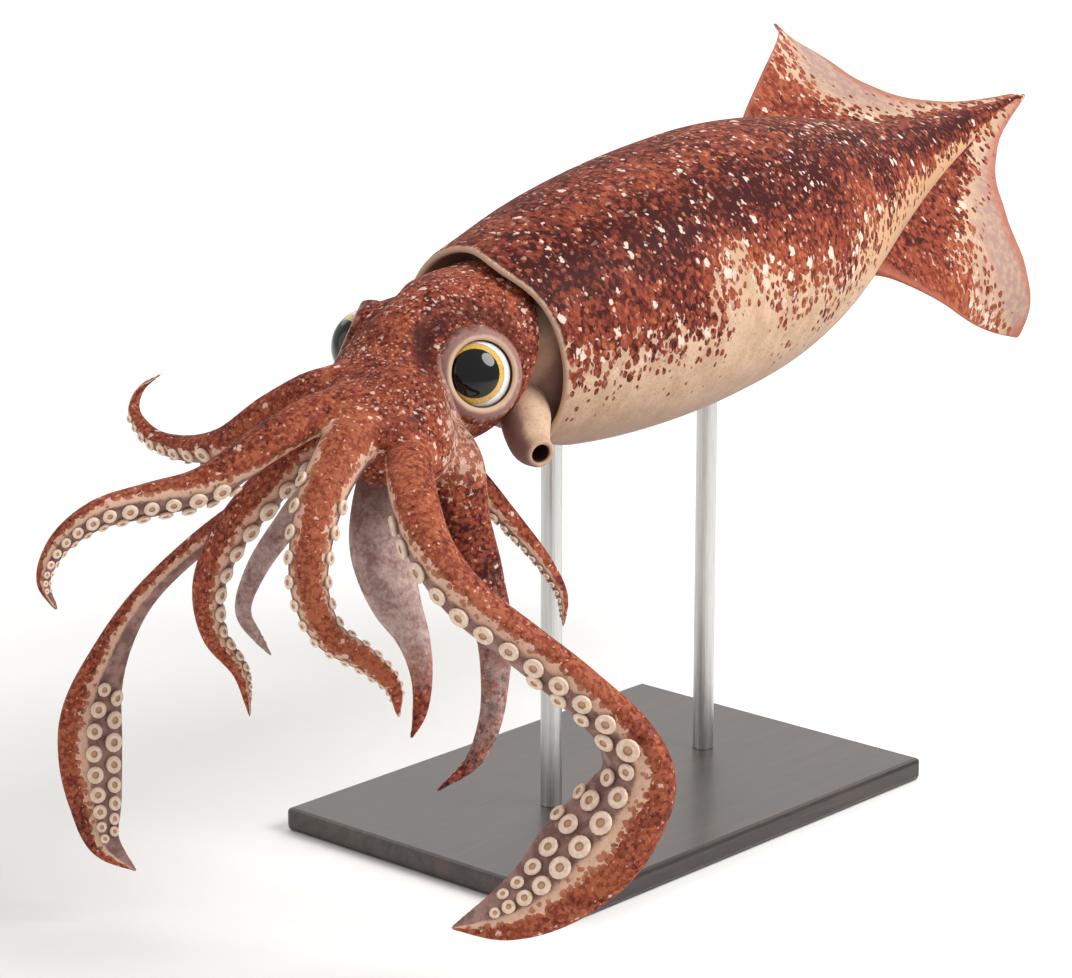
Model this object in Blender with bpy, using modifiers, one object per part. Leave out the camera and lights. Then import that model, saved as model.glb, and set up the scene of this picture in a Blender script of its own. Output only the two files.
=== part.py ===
"""A life-size display model of a Humboldt squid on a plain stand, as solids for Blender 4.5.

Metres, +Z up. The squid swims along the X axis with its head towards -X, its left side
towards -Y and its tail a little raised. The origin is the middle of the stand's underside.
"""
import math
import random

import bmesh
import bpy
import numpy as np
from mathutils import Matrix, Vector

# View that the pose is taken from: the picture's size, direction and scale
PICTURE_WIDTH = 1072
PICTURE_HEIGHT = 978
VIEW_AZIMUTH = math.radians(-48)
VIEW_ELEVATION = math.radians(15)
CAMERA_DISTANCE = 3.0
PIXELS_AT_ONE_METRE = 3761
COLLAR_PIXEL = (485, 350)

# Fit
GAP = 0.0003

# Mantle: share of the length from collar to tail, outer radius
MANTLE_LENGTH = 0.75
MANTLE_OUTLINE = [(0.0, 0.0870), (0.04, 0.0928), (0.12, 0.1042), (0.22, 0.1120), (0.32, 0.1138),
                  (0.42, 0.1095), (0.51, 0.0960), (0.58, 0.0795), (0.65, 0.0610), (0.75, 0.0385),
                  (0.86, 0.0200), (0.95, 0.0080)]
MANTLE_SIDES = 28
FRONT_STATIONS = 9
TAIL_END = 0.985
COLLAR = np.array([-0.155, 0.0, 0.425])
BODY_PITCH = math.radians(9)
BELLY_BOW = 0.012
COLLAR_WALL = 0.006
POCKET_DEPTH = 0.050
POCKET_RADIUS = 0.078
LOBE_ROLL = math.radians(24)
LOBE_REACH = 0.012
LOBE_WIDTH = math.radians(22)

# Fins: the pair is rolled, the left one droops and the right one curls up behind
FIN_FRONT = 0.555
FIN_SPAN = 0.160
FIN_ROLL = math.radians(33)
LEFT_FIN_DROOP = math.radians(33)
LEFT_FIN_WAVE = math.radians(-20)
RIGHT_FIN_DROOP = math.radians(-2)
RIGHT_FIN_WAVE = math.radians(20)
FIN_WAVE_MIDDLE = 0.78
FIN_WAVE_LENGTH = 0.10
# Fin edges: part of the span, share of the mantle's length
FIN_FRONT_EDGE = [(0.0, FIN_FRONT), (0.25, 0.606), (0.53, 0.673), (0.81, 0.752), (1.0, 0.798)]
FIN_BACK_EDGE = [(0.0, TAIL_END), (0.06, 0.915), (0.15, 0.866), (0.40, 0.815), (0.70, 0.810),
                 (0.92, 0.812), (1.0, 0.814)]
FIN_ROOT_THICKNESS = 0.009
FIN_EDGE_THICKNESS = 0.0014
FIN_ROWS = 10
FIN_COLUMNS = 11

# Eyes and head
EYE_MIDDLE = COLLAR + np.array([-0.085, -0.006, 0.0075])
EYE_SPACING = 0.090
EYE_RADIUS = 0.031
EYE_OPENING = 0.0255
LID_RADIUS = 0.0310
LID_THICKNESS = 0.0068
SOCKET_WALL = 0.0065
HEAD_LATERAL = np.array([0.14, -0.985, -0.10])
EYE_FACING = np.array([-0.338, -0.909, 0.2305])
# Head sections: offset of the middle from the collar, half width, half height
HEAD_SECTIONS = [((0.034, 0.0, 0.013), 0.050, 0.048), ((0.012, 0.0, 0.010), 0.060, 0.058),
                 ((-0.015, -0.002, 0.008), 0.065, 0.064), ((-0.050, -0.004, 0.004), 0.063, 0.066),
                 ((-0.085, -0.007, -0.006), 0.056, 0.064), ((-0.115, -0.013, -0.020), 0.056, 0.060),
                 ((-0.140, -0.020, -0.036), 0.055, 0.056), ((-0.158, -0.028, -0.052), 0.040, 0.040)]
HEAD_SIDES = 20
EYE_SIDES = 16
EYE_RINGS = 10

# Funnel: offset of the middle from the collar, radius
FUNNEL_ROUTE = [((0.022, -0.036, -0.036), 0.0180), ((-0.004, -0.040, -0.042), 0.0205),
                ((-0.022, -0.051, -0.054), 0.0205), ((-0.026, -0.065, -0.066), 0.0160),
                ((-0.024, -0.076, -0.077), 0.0125)]
FUNNEL_BORE = 0.0085
FUNNEL_BORE_DEPTH = 0.020
FUNNEL_SIDES = 14

# Limbs: middle line as pixel across, pixel down, and metres nearer than the collar
ROUTES = {
    "arm_1_right": [(372, 375, 0.120), (325, 386, 0.130), (275, 412, 0.115), (226, 445, 0.080),
                    (184, 450, 0.045), (150, 438, 0.020), (133, 410, 0.005), (150, 381, 0.000)],
    "arm_1_left": [(378, 398, 0.140), (328, 412, 0.170), (272, 443, 0.200), (204, 488, 0.215),
                   (150, 502, 0.220), (96, 517, 0.230), (58, 547, 0.235), (44, 582, 0.235), (57, 610, 0.230)],
    "arm_2_right": [(368, 420, 0.100), (322, 440, 0.118), (268, 492, 0.128), (230, 540, 0.125),
                    (211, 588, 0.118), (216, 634, 0.112), (242, 672, 0.110), (250, 716, 0.110)],
    "arm_3_right": [(378, 445, 0.050), (335, 466, 0.035), (294, 515, 0.022), (256, 570, 0.018),
                    (243, 612, 0.018), (258, 638, 0.020), (272, 656, 0.022)],
    "arm_2_left": [(395, 415, 0.160), (362, 432, 0.215), (330, 490, 0.240), (312, 550, 0.245),
                   (310, 592, 0.245), (328, 634, 0.240), (366, 660, 0.235), (393, 686, 0.230), (399, 716, 0.225)],
    "arm_3_left": [(405, 440, 0.125), (386, 470, 0.140), (372, 540, 0.155), (392, 600, 0.160),
                   (416, 650, 0.165), (424, 695, 0.165), (411, 738, 0.165)],
    "arm_4_left": [(432, 430, 0.110), (452, 462, 0.118), (463, 520, 0.125), (484, 580, 0.125),
                   (500, 630, 0.125), (497, 675, 0.120), (491, 714, 0.120), (478, 752, 0.120), (437, 791, 0.120)],
    "arm_4_right": [(425, 440, 0.060), (462, 470, 0.050), (508, 520, 0.035), (546, 566, 0.020),
                    (562, 596, 0.015), (563, 627, 0.015)],
    "tentacle_right": [(385, 440, 0.090), (330, 455, 0.080), (262, 500, 0.070), (196, 548, 0.060),
                       (140, 604, 0.050), (106, 664, 0.045), (92, 710, 0.045), (90, 755, 0.045),
                       (95, 800, 0.045), (104, 842, 0.045), (136, 871, 0.045)],
    "tentacle_left": [(415, 425, 0.145), (408, 455, 0.185), (412, 505, 0.240), (432, 560, 0.270),
                      (468, 605, 0.275), (520, 645, 0.275), (580, 692, 0.275), (626, 742, 0.270),
                      (632, 790, 0.265), (604, 842, 0.265), (562, 880, 0.265), (510, 910, 0.265), (452, 929, 0.265)],
}
# Direction that the suckers face at the root and at the tip: across, up and near in the view
ORAL_SIDES = {
    "arm_1_right": ((0.2, -1.0, -0.2), (0.6, 0.0, 0.3)), "arm_1_left": ((0.2, -0.9, 0.3), (0.7, 0.1, 0.4)),
    "arm_2_right": ((0.8, -0.5, -0.2), (0.9, 0.3, -0.1)), "arm_3_right": ((0.8, -0.2, -0.4), (0.6, 0.6, 0.0)),
    "arm_2_left": ((-0.1, -0.3, -1.0), (0.0, 0.2, -1.0)), "arm_3_left": ((-0.7, 0.0, -0.7), (-0.6, 0.0, -0.7)),
    "arm_4_left": ((-0.8, 0.0, -0.6), (-0.8, 0.3, -0.5)), "arm_4_right": ((-0.8, -0.5, -0.2), (-1.0, 0.0, 0.1)),
    "tentacle_right": ((0.5, -0.8, 0.2), (0.25, 0.0, 1.0)), "tentacle_left": ((-0.9, -0.4, 0.1), (-0.4, 0.5, 0.9)),
}
# Arms taper alike: share of the length, part of the root's half width and half thickness
ARM_TAPER = [(0.0, 1.0, 0.95), (0.25, 0.88, 0.82), (0.5, 0.70, 0.64), (0.75, 0.50, 0.45),
             (0.92, 0.30, 0.27), (1.0, 0.10, 0.09)]
ARM_HALF_WIDTHS = {"arm_1_right": 0.0165, "arm_1_left": 0.0205, "arm_2_right": 0.0195,
                   "arm_3_right": 0.0150, "arm_2_left": 0.0215, "arm_3_left": 0.0165,
                   "arm_4_left": 0.0205, "arm_4_right": 0.0150}
# Tentacles: share of the length, half width, half thickness
TENTACLE_SIZES = {
    "tentacle_right": [(0.0, 0.0150, 0.0140), (0.45, 0.0120, 0.0110), (0.58, 0.0150, 0.0120),
                       (0.74, 0.0225, 0.0130), (0.88, 0.0165, 0.0105), (0.96, 0.0085, 0.0060),
                       (1.0, 0.0015, 0.0015)],
    "tentacle_left": [(0.0, 0.0205, 0.0195), (0.25, 0.0215, 0.0200), (0.5, 0.0180, 0.0165),
                      (0.62, 0.0195, 0.0165), (0.74, 0.0300, 0.0180), (0.86, 0.0240, 0.0150),
                      (0.95, 0.0115, 0.0085), (1.0, 0.0020, 0.0020)],
}
# Shares of each limb's length at which one length ends and the next begins
CUTS = {
    "arm_1_right": (0.45, 0.75), "arm_1_left": (0.45, 0.75), "arm_2_right": (0.45, 0.75),
    "arm_3_right": (0.62,), "arm_2_left": (0.50, 0.76), "arm_3_left": (0.60,), "arm_4_left": (0.45, 0.75),
    "arm_4_right": (0.62,), "tentacle_right": (0.35, 0.60, 0.80), "tentacle_left": (0.35, 0.60, 0.78),
}
# How far each limb's root runs before it leaves the head's crown
ROOT_REACH = {
    "arm_1_right": 0.058, "arm_1_left": 0.065, "arm_2_right": 0.050, "arm_3_right": 0.045,
    "arm_2_left": 0.068, "arm_3_left": 0.050, "arm_4_left": 0.045, "arm_4_right": 0.040,
    "tentacle_right": 0.060, "tentacle_left": 0.070,
}
ORAL_FLATNESS = 0.72
LIMB_SIDES = 8
LIMB_STEP = 0.015
ROUTE_SAMPLES = 400

# Suckers, as parts of the half width they sit on: place across the limb, rim radius
ARM_ROWS = [(-0.46, 0.40), (0.46, 0.40)]
CLUB_ROWS = [(-0.72, 0.16), (-0.27, 0.28), (0.25, 0.28), (0.70, 0.16)]
STALK_ROWS = {"tentacle_left": [(-0.42, 0.33), (0.42, 0.33)]}
CLUB_STARTS = {"tentacle_left": 0.60, "tentacle_right": 0.60}
SUCKER_SPACING = {"arm": 1.90, "stalk": 1.45, "club": 0.92}
SUCKER_HEIGHT = 0.55
SUCKER_FOOT = 0.72
SUCKER_PIT = 0.50
SUCKER_TILT = 0.35
SUCKER_SINK = 0.40
SUCKER_SIDES = 6
SMALL_SUCKER = 0.0045
SMALL_SUCKER_SIDES = 5
SMALLEST_SUCKER = 0.0014
SIZE_SPREAD = 0.08
SEED = 11

# Stand
BASE_SIZE = (0.46, 0.32, 0.020)
BASE_EDGE = 0.004
ROD_RADIUS = 0.009
ROD_PLACES = {"stand_rod_front": -0.075, "stand_rod_rear": 0.125}
ROD_SIDES = 24

# Colours: red, green, blue, roughness, metallic
COLOURS = {
    "mantle": (0.32, 0.085, 0.045, 0.35, 0.0), "fin": (0.42, 0.15, 0.09, 0.40, 0.0),
    "head": (0.36, 0.10, 0.05, 0.35, 0.0), "eye": (0.04, 0.03, 0.025, 0.08, 0.0),
    "funnel": (0.46, 0.28, 0.20, 0.40, 0.0), "arm": (0.38, 0.11, 0.06, 0.35, 0.0),
    "tentacle": (0.40, 0.13, 0.08, 0.35, 0.0), "stand_base": (0.05, 0.045, 0.04, 0.50, 0.0),
    "stand_rod": (0.62, 0.62, 0.60, 0.35, 1.0),
}

# Directions of the view
ACROSS = np.array([math.cos(VIEW_AZIMUTH), math.sin(VIEW_AZIMUTH), 0.0])
INTO = np.array([-math.sin(VIEW_AZIMUTH) * math.cos(VIEW_ELEVATION),
                 math.cos(VIEW_AZIMUTH) * math.cos(VIEW_ELEVATION), -math.sin(VIEW_ELEVATION)])
RISE = np.cross(ACROSS, INTO)
TAILWARD = np.array([math.cos(BODY_PITCH), 0.0, math.sin(BODY_PITCH)])
BACKWARD = np.array([-math.sin(BODY_PITCH), 0.0, math.cos(BODY_PITCH)])


def unit(vector):
    return np.asarray(vector, float) / np.linalg.norm(vector)


# Reading the pose


def camera_place():
    """Where the view is taken from, so that the collar shows at its pixel."""
    scale = PIXELS_AT_ONE_METRE / CAMERA_DISTANCE
    right = (COLLAR_PIXEL[0] - PICTURE_WIDTH / 2) / scale
    up = (PICTURE_HEIGHT / 2 - COLLAR_PIXEL[1]) / scale
    return COLLAR - right * ACROSS - up * RISE - CAMERA_DISTANCE * INTO


def from_picture(x, y, near):
    """The point that shows at pixel x, y, this many metres nearer than the collar."""
    depth = CAMERA_DISTANCE - near
    scale = PIXELS_AT_ONE_METRE / depth
    right = (x - PICTURE_WIDTH / 2) / scale
    up = (PICTURE_HEIGHT / 2 - y) / scale
    return camera_place() + right * ACROSS + up * RISE + depth * INTO


def view_vector(across, up, near):
    return unit(across * ACROSS + up * RISE - near * INTO)


# Curves


def catmull_rom(points, per_span=24):
    """A smooth curve through the points, with knots set by the square root of their distance."""
    points = np.asarray(points, float)
    padded = np.vstack([2 * points[0] - points[1], points, 2 * points[-1] - points[-2]])
    distances = np.linalg.norm(np.diff(padded, axis=0), axis=1)
    knots = np.concatenate([[0.0], np.cumsum(np.sqrt(distances))])
    curve = []
    for i in range(len(points) - 1):
        p, k = padded[i:i + 4], knots[i:i + 4]
        for t in np.linspace(k[1], k[2], per_span, endpoint=False):
            a = [((k[j + 1] - t) * p[j] + (t - k[j]) * p[j + 1]) / (k[j + 1] - k[j]) for j in range(3)]
            b = [((k[j + 2] - t) * a[j] + (t - k[j]) * a[j + 1]) / (k[j + 2] - k[j]) for j in range(2)]
            curve.append(((k[2] - t) * b[0] + (t - k[1]) * b[1]) / (k[2] - k[1]))
    curve.append(points[-1])
    return np.array(curve)


def spaced_evenly(curve, count):
    """The curve's points at even steps, and its length."""
    steps = np.linalg.norm(np.diff(curve, axis=0), axis=1)
    along = np.concatenate([[0.0], np.cumsum(steps)])
    wanted = np.linspace(0.0, along[-1], count)
    points = np.stack([np.interp(wanted, along, curve[:, axis]) for axis in range(3)], axis=1)
    return points, along[-1]


def smooth_table(table, share):
    """Reads a table of (share, value, ...) rows with eased steps between its rows."""
    table = np.asarray(table, float)
    row = int(np.clip(np.searchsorted(table[:, 0], share) - 1, 0, len(table) - 2))
    part = np.clip((share - table[row, 0]) / (table[row + 1, 0] - table[row, 0]), 0.0, 1.0)
    slopes = np.gradient(table[:, 1:], table[:, 0], axis=0)
    width = table[row + 1, 0] - table[row, 0]
    start = (1 + 2 * part) * (1 - part) ** 2 * table[row, 1:] + part * (1 - part) ** 2 * width * slopes[row]
    end = part ** 2 * (3 - 2 * part) * table[row + 1, 1:] - part ** 2 * (1 - part) * width * slopes[row + 1]
    return start + end


class Limb:
    """The middle line, directions and half sizes of one arm or tentacle."""

    def __init__(self, name):
        self.name = name
        route = [from_picture(*point) for point in ROUTES[name]]
        self.points, self.length = spaced_evenly(catmull_rom(route), ROUTE_SAMPLES)
        self.tangents = np.gradient(self.points, axis=0)

    def at(self, share, axis_values):
        place = np.clip(share, 0.0, 1.0) * (ROUTE_SAMPLES - 1)
        index = min(int(place), ROUTE_SAMPLES - 2)
        part = place - index
        return axis_values[index] * (1 - part) + axis_values[index + 1] * part

    def half_sizes(self, share):
        if self.name in ARM_HALF_WIDTHS:
            return smooth_table(ARM_TAPER, share) * ARM_HALF_WIDTHS[self.name]
        return smooth_table(TENTACLE_SIZES[self.name], share)

    def frame(self, share):
        """The middle point, the direction onward, the suckers' side and the sideways direction."""
        onward = unit(self.at(share, self.tangents))
        root_side, tip_side = (view_vector(*side) for side in ORAL_SIDES[self.name])
        hint = root_side * (1 - share) + tip_side * share
        oral = unit(hint - (hint @ onward) * onward)
        return self.at(share, self.points), onward, oral, np.cross(onward, oral)

    def ring(self, share):
        middle, _, oral, sideways = self.frame(share)
        half_width, half_thickness = self.half_sizes(share)
        ring = []
        for step in range(LIMB_SIDES):
            angle = 2 * math.pi * (step + 0.5) / LIMB_SIDES
            depth = half_thickness * math.sin(angle)
            if depth > 0:
                depth *= ORAL_FLATNESS
            ring.append(middle + sideways * half_width * math.cos(angle) + oral * depth)
        return ring

    def rings(self, start, end):
        """Rings from share to share, closer together where the limb gets thin."""
        count = max(4, round((end - start) * self.length / LIMB_STEP) + 1)
        return [self.ring(share) for share in np.linspace(start, end, count)]


# Meshes and objects


def make_object(name, mesh, collection):
    part = bpy.data.objects.new(name, mesh)
    collection.objects.link(part)
    return part


def facing_out(name, shape):
    """A mesh from a bmesh, with its faces turned outward."""
    bmesh.ops.recalc_face_normals(shape, faces=shape.faces[:])
    if shape.calc_volume(signed=True) < 0:
        bmesh.ops.reverse_faces(shape, faces=shape.faces[:])
    mesh = bpy.data.meshes.new(name)
    shape.to_mesh(mesh)
    shape.free()
    return mesh


def loft(name, rings, collection):
    """One closed body through rings of equal point counts, with a flat face at both ends."""
    shape = bmesh.new()
    rows = [[shape.verts.new(point) for point in ring] for ring in rings]
    for row, following in zip(rows, rows[1:]):
        for i in range(len(row)):
            j = (i + 1) % len(row)
            shape.faces.new((row[i], row[j], following[j], following[i]))
    shape.faces.new(rows[0])
    shape.faces.new(rows[-1])
    return make_object(name, facing_out(name, shape), collection)


def replace_mesh(part, mesh):
    old = part.data
    part.modifiers.clear()
    part.data = mesh
    bpy.data.meshes.remove(old)


def apply_modifiers(part):
    bpy.context.view_layer.update()
    evaluated = part.evaluated_get(bpy.context.evaluated_depsgraph_get())
    replace_mesh(part, bpy.data.meshes.new_from_object(evaluated))


def keep_largest_surface(part):
    """Drops every loose surface but the one of the largest volume."""
    shape = bmesh.new()
    shape.from_mesh(part.data)
    left = set(shape.verts)
    surfaces = []
    while left:
        stack = [left.pop()]
        surface = set(stack)
        while stack:
            for edge in stack.pop().link_edges:
                for vertex in edge.verts:
                    if vertex not in surface:
                        surface.add(vertex)
                        stack.append(vertex)
        left -= surface
        surfaces.append(surface)
    largest = max(surfaces, key=spread)
    loose = [vertex for surface in surfaces if surface is not largest for vertex in surface]
    bmesh.ops.delete(shape, geom=loose, context="VERTS")
    shape.to_mesh(part.data)
    shape.free()


def spread(vertices):
    """The volume of the box around some vertices."""
    places = np.array([vertex.co[:] for vertex in vertices])
    return np.prod(np.ptp(places, axis=0))


def combine(part, pieces, operation):
    """Joins the pieces of a collection to the part, or cuts them out of it, and removes them."""
    change = part.modifiers.new(operation.lower(), "BOOLEAN")
    change.operation = operation
    change.operand_type = "COLLECTION"
    change.collection = pieces
    change.solver = "MANIFOLD"
    apply_modifiers(part)
    for piece in list(pieces.objects):
        bpy.data.objects.remove(piece)
    keep_largest_surface(part)


def collection_named(name):
    collection = bpy.data.collections.new(name)
    bpy.context.scene.collection.children.link(collection)
    return collection


def paint(part, colour):
    red, green, blue, roughness, metallic = COLOURS[colour]
    material = bpy.data.materials.new(part.name)
    material.use_nodes = True
    surface = material.node_tree.nodes["Principled BSDF"]
    surface.inputs["Base Color"].default_value = (red, green, blue, 1.0)
    surface.inputs["Roughness"].default_value = roughness
    surface.inputs["Metallic"].default_value = metallic
    material.diffuse_color = (red, green, blue, 1.0)
    part.data.materials.clear()
    part.data.materials.append(material)


def smooth(part):
    for face in part.data.polygons:
        face.use_smooth = True


# Mantle


def mantle_radius(share):
    if share >= MANTLE_OUTLINE[-1][0]:
        last_share, last_radius = MANTLE_OUTLINE[-1]
        return last_radius * math.sqrt(max(0.0, (1.0 - share) / (1.0 - last_share)))
    return float(smooth_table(MANTLE_OUTLINE, share)[0])


def mantle_axis(share):
    """The mantle's middle line, bowed a little towards the belly."""
    bow = BELLY_BOW * math.sin(math.pi * share)
    return COLLAR + share * MANTLE_LENGTH * TAILWARD - bow * BACKWARD


def mantle_profile():
    """The turned outline: tail, outside, rounded lip, pocket wall and pocket floor."""
    outside = [(0.0, MANTLE_LENGTH)]
    behind = np.linspace(TAIL_END, FIN_FRONT, FIN_COLUMNS)
    before = np.linspace(FIN_FRONT, 0.02, FRONT_STATIONS)[1:]
    for share in np.concatenate([behind, before]):
        outside.append((mantle_radius(share), share * MANTLE_LENGTH))
    lip = mantle_radius(0.0)
    rim = [(lip, 0.006), (lip - 0.0015, 0.0005), (lip - 0.0035, 0.0), (lip - COLLAR_WALL, 0.003)]
    pocket = [(POCKET_RADIUS + 0.002, 0.020), (POCKET_RADIUS, POCKET_DEPTH), (0.0, POCKET_DEPTH)]
    return outside + rim + pocket


def dorsal_lobe(x, y):
    """How far the collar reaches forward at this angle round it: a lobe on the back's middle."""
    turn = math.atan2(-y, x) - LOBE_ROLL
    turn = (turn + math.pi) % (2 * math.pi) - math.pi
    return LOBE_REACH * math.exp(-(turn / LOBE_WIDTH) ** 2)


def build_mantle(collection):
    shape = bmesh.new()
    corners = [shape.verts.new((radius, 0.0, height)) for radius, height in mantle_profile()]
    for first, second in zip(corners, corners[1:]):
        shape.edges.new((first, second))
    mesh = bpy.data.meshes.new("mantle")
    shape.to_mesh(mesh)
    shape.free()
    mantle = make_object("mantle", mesh, collection)
    turn = mantle.modifiers.new("turn", "SCREW")
    turn.steps = MANTLE_SIDES
    turn.render_steps = MANTLE_SIDES
    turn.use_merge_vertices = True
    turn.merge_threshold = 0.00005
    apply_modifiers(mantle)
    for vertex in mantle.data.vertices:
        x, y, height = vertex.co
        fade = max(0.0, 1.0 - height / 0.06)
        bow = BELLY_BOW * math.sin(math.pi * height / MANTLE_LENGTH)
        if height < POCKET_DEPTH - 0.001:
            height -= dorsal_lobe(x, y) * fade
        vertex.co = (x - bow, y, height)
    mantle.location = COLLAR
    orient_mantle(mantle)
    smooth(mantle)
    return mantle


def orient_mantle(mantle):
    """Turns the mantle's own X to the back, its Y to the right side and its Z to the tail."""
    right = np.cross(TAILWARD, BACKWARD)
    turned = Matrix([[BACKWARD[k], right[k], TAILWARD[k]] for k in range(3)])
    mantle.rotation_euler = turned.to_euler()


# Fins


def fin_middle(side, share, part):
    """A point of the fin's middle surface: share along the mantle, part of the way out."""
    roll, droop, wave = FIN_ROLL, LEFT_FIN_DROOP, LEFT_FIN_WAVE
    if side > 0:
        roll, droop, wave = -FIN_ROLL, RIGHT_FIN_DROOP, RIGHT_FIN_WAVE
    behind = math.tanh((share - FIN_WAVE_MIDDLE) / FIN_WAVE_LENGTH)
    turn = roll + (droop + wave * behind) * part ** 2
    out = side * math.cos(turn) * np.array([0.0, 1.0, 0.0]) - math.sin(turn) * BACKWARD
    root = mantle_radius(share) + GAP
    return mantle_axis(share) + out * (root + FIN_SPAN * part)


def build_fin(name, side, collection):
    """A rhomboid blade, split into triangles alike on both faces."""
    middles = []
    for row in range(FIN_ROWS):
        part = math.sin(math.pi / 2 * row / (FIN_ROWS - 1))
        front = float(np.interp(part, *zip(*FIN_FRONT_EDGE)))
        back = float(np.interp(part, *zip(*FIN_BACK_EDGE)))
        middles.append([fin_middle(side, front + (back - front) * column / (FIN_COLUMNS - 1), part)
                        for column in range(FIN_COLUMNS)])
    middles = np.array(middles)
    outward = np.gradient(middles, axis=0)
    tailward = np.gradient(middles, axis=1)
    normals = np.cross(outward, tailward)
    normals /= np.linalg.norm(normals, axis=2, keepdims=True)
    shape = bmesh.new()
    faces = []
    for half in (0.5, -0.5):
        grid = []
        for row in range(FIN_ROWS):
            part = row / (FIN_ROWS - 1)
            line = []
            for column in range(FIN_COLUMNS):
                edge = math.sin(math.pi * column / (FIN_COLUMNS - 1)) ** 0.5
                swell = (FIN_ROOT_THICKNESS - FIN_EDGE_THICKNESS) * (1 - part) ** 1.3 * edge
                offset = half * (FIN_EDGE_THICKNESS + swell) * normals[row, column]
                line.append(shape.verts.new(middles[row, column] + offset))
            grid.append(line)
        faces.append(grid)
    top, bottom = faces
    for row in range(FIN_ROWS - 1):
        for column in range(FIN_COLUMNS - 1):
            for grid in faces:
                a, b = grid[row][column], grid[row][column + 1]
                c, d = grid[row + 1][column + 1], grid[row + 1][column]
                shape.faces.new((a, b, c))
                shape.faces.new((a, c, d))
    edge_path = [(0, column) for column in range(FIN_COLUMNS)]
    edge_path += [(row, FIN_COLUMNS - 1) for row in range(1, FIN_ROWS)]
    edge_path += [(FIN_ROWS - 1, column) for column in range(FIN_COLUMNS - 2, -1, -1)]
    edge_path += [(row, 0) for row in range(FIN_ROWS - 2, 0, -1)]
    for (row, column), (next_row, next_column) in zip(edge_path, edge_path[1:] + edge_path[:1]):
        shape.faces.new((top[row][column], top[next_row][next_column],
                         bottom[next_row][next_column], bottom[row][column]))
    fin = make_object(name, facing_out(name, shape), collection)
    smooth(fin)
    return fin


# Head, eyes and funnel


def eye_places():
    """Each eye's middle and the direction it faces."""
    lateral = unit(HEAD_LATERAL)
    facing = unit(EYE_FACING)
    mirrored = unit(facing - 2 * (facing @ lateral) * lateral)
    left = EYE_MIDDLE + EYE_SPACING / 2 * lateral
    right = EYE_MIDDLE - EYE_SPACING / 2 * lateral
    return {"eye_left": (left, facing), "eye_right": (right, mirrored)}


def turned_to(direction):
    return Vector(direction).to_track_quat("Z", "Y").to_matrix().to_4x4()


def ball(name, middle, radius, direction, collection, segments=16, rings=10):
    shape = bmesh.new()
    bmesh.ops.create_uvsphere(shape, u_segments=segments, v_segments=rings, radius=radius)
    place = Matrix.Translation(Vector(middle)) @ turned_to(direction)
    bmesh.ops.transform(shape, matrix=place, verts=shape.verts[:])
    return make_object(name, facing_out(name, shape), collection)


def lid_ring(name, middle, facing, collection):
    """A rounded ring round the eye's opening."""
    rings = []
    height = math.sqrt(EYE_RADIUS ** 2 - EYE_OPENING ** 2)
    place = Matrix.Translation(Vector(middle)) @ turned_to(facing)
    sides, around = 6, EYE_SIDES
    shape = bmesh.new()
    for turn in range(around):
        angle = 2 * math.pi * turn / around
        row = []
        for side in range(sides):
            roll = 2 * math.pi * side / sides
            radius = LID_RADIUS + LID_THICKNESS * math.cos(roll)
            point = Vector((radius * math.cos(angle), radius * math.sin(angle),
                            height + LID_THICKNESS * 0.8 * math.sin(roll)))
            row.append(shape.verts.new(place @ point))
        rings.append(row)
    for turn in range(around):
        row, following = rings[turn], rings[(turn + 1) % around]
        for side in range(sides):
            up = (side + 1) % sides
            shape.faces.new((row[side], following[side], following[up], row[up]))
    return make_object(name, facing_out(name, shape), collection)


def opening_cutter(name, middle, facing, collection):
    """A round bar that opens the lids in front of the eye."""
    shape = bmesh.new()
    bmesh.ops.create_cone(shape, cap_ends=True, segments=EYE_SIDES, radius1=EYE_OPENING,
                          radius2=EYE_OPENING, depth=EYE_RADIUS * 2)
    ahead = Matrix.Translation(Vector((0.0, 0.0, EYE_RADIUS * 1.3)))
    place = Matrix.Translation(Vector(middle)) @ turned_to(facing) @ ahead
    bmesh.ops.transform(shape, matrix=place, verts=shape.verts[:])
    return make_object(name, facing_out(name, shape), collection)


def head_rings():
    """Oval rings along the head's middle line, from the neck to the crown."""
    middles = np.array([COLLAR + np.array(offset) for offset, _, _ in HEAD_SECTIONS])
    line = catmull_rom(middles, per_span=2)
    shares = np.linspace(0.0, 1.0, len(line))
    stations = np.linspace(0.0, 1.0, len(HEAD_SECTIONS))
    widths = [(station, section[1], section[2]) for station, section in zip(stations, HEAD_SECTIONS)]
    rings = []
    for middle, onward, share in zip(line, np.gradient(line, axis=0), shares):
        onward = unit(onward)
        lateral = unit(HEAD_LATERAL - (np.array(HEAD_LATERAL) @ onward) * onward)
        upward = np.cross(onward, lateral)
        half_width, half_height = smooth_table(widths, share)
        ring = []
        for step in range(HEAD_SIDES):
            angle = 2 * math.pi * step / HEAD_SIDES
            ring.append(middle + lateral * half_width * math.cos(angle) + upward * half_height * math.sin(angle))
        rings.append(ring)
    return rings


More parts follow.
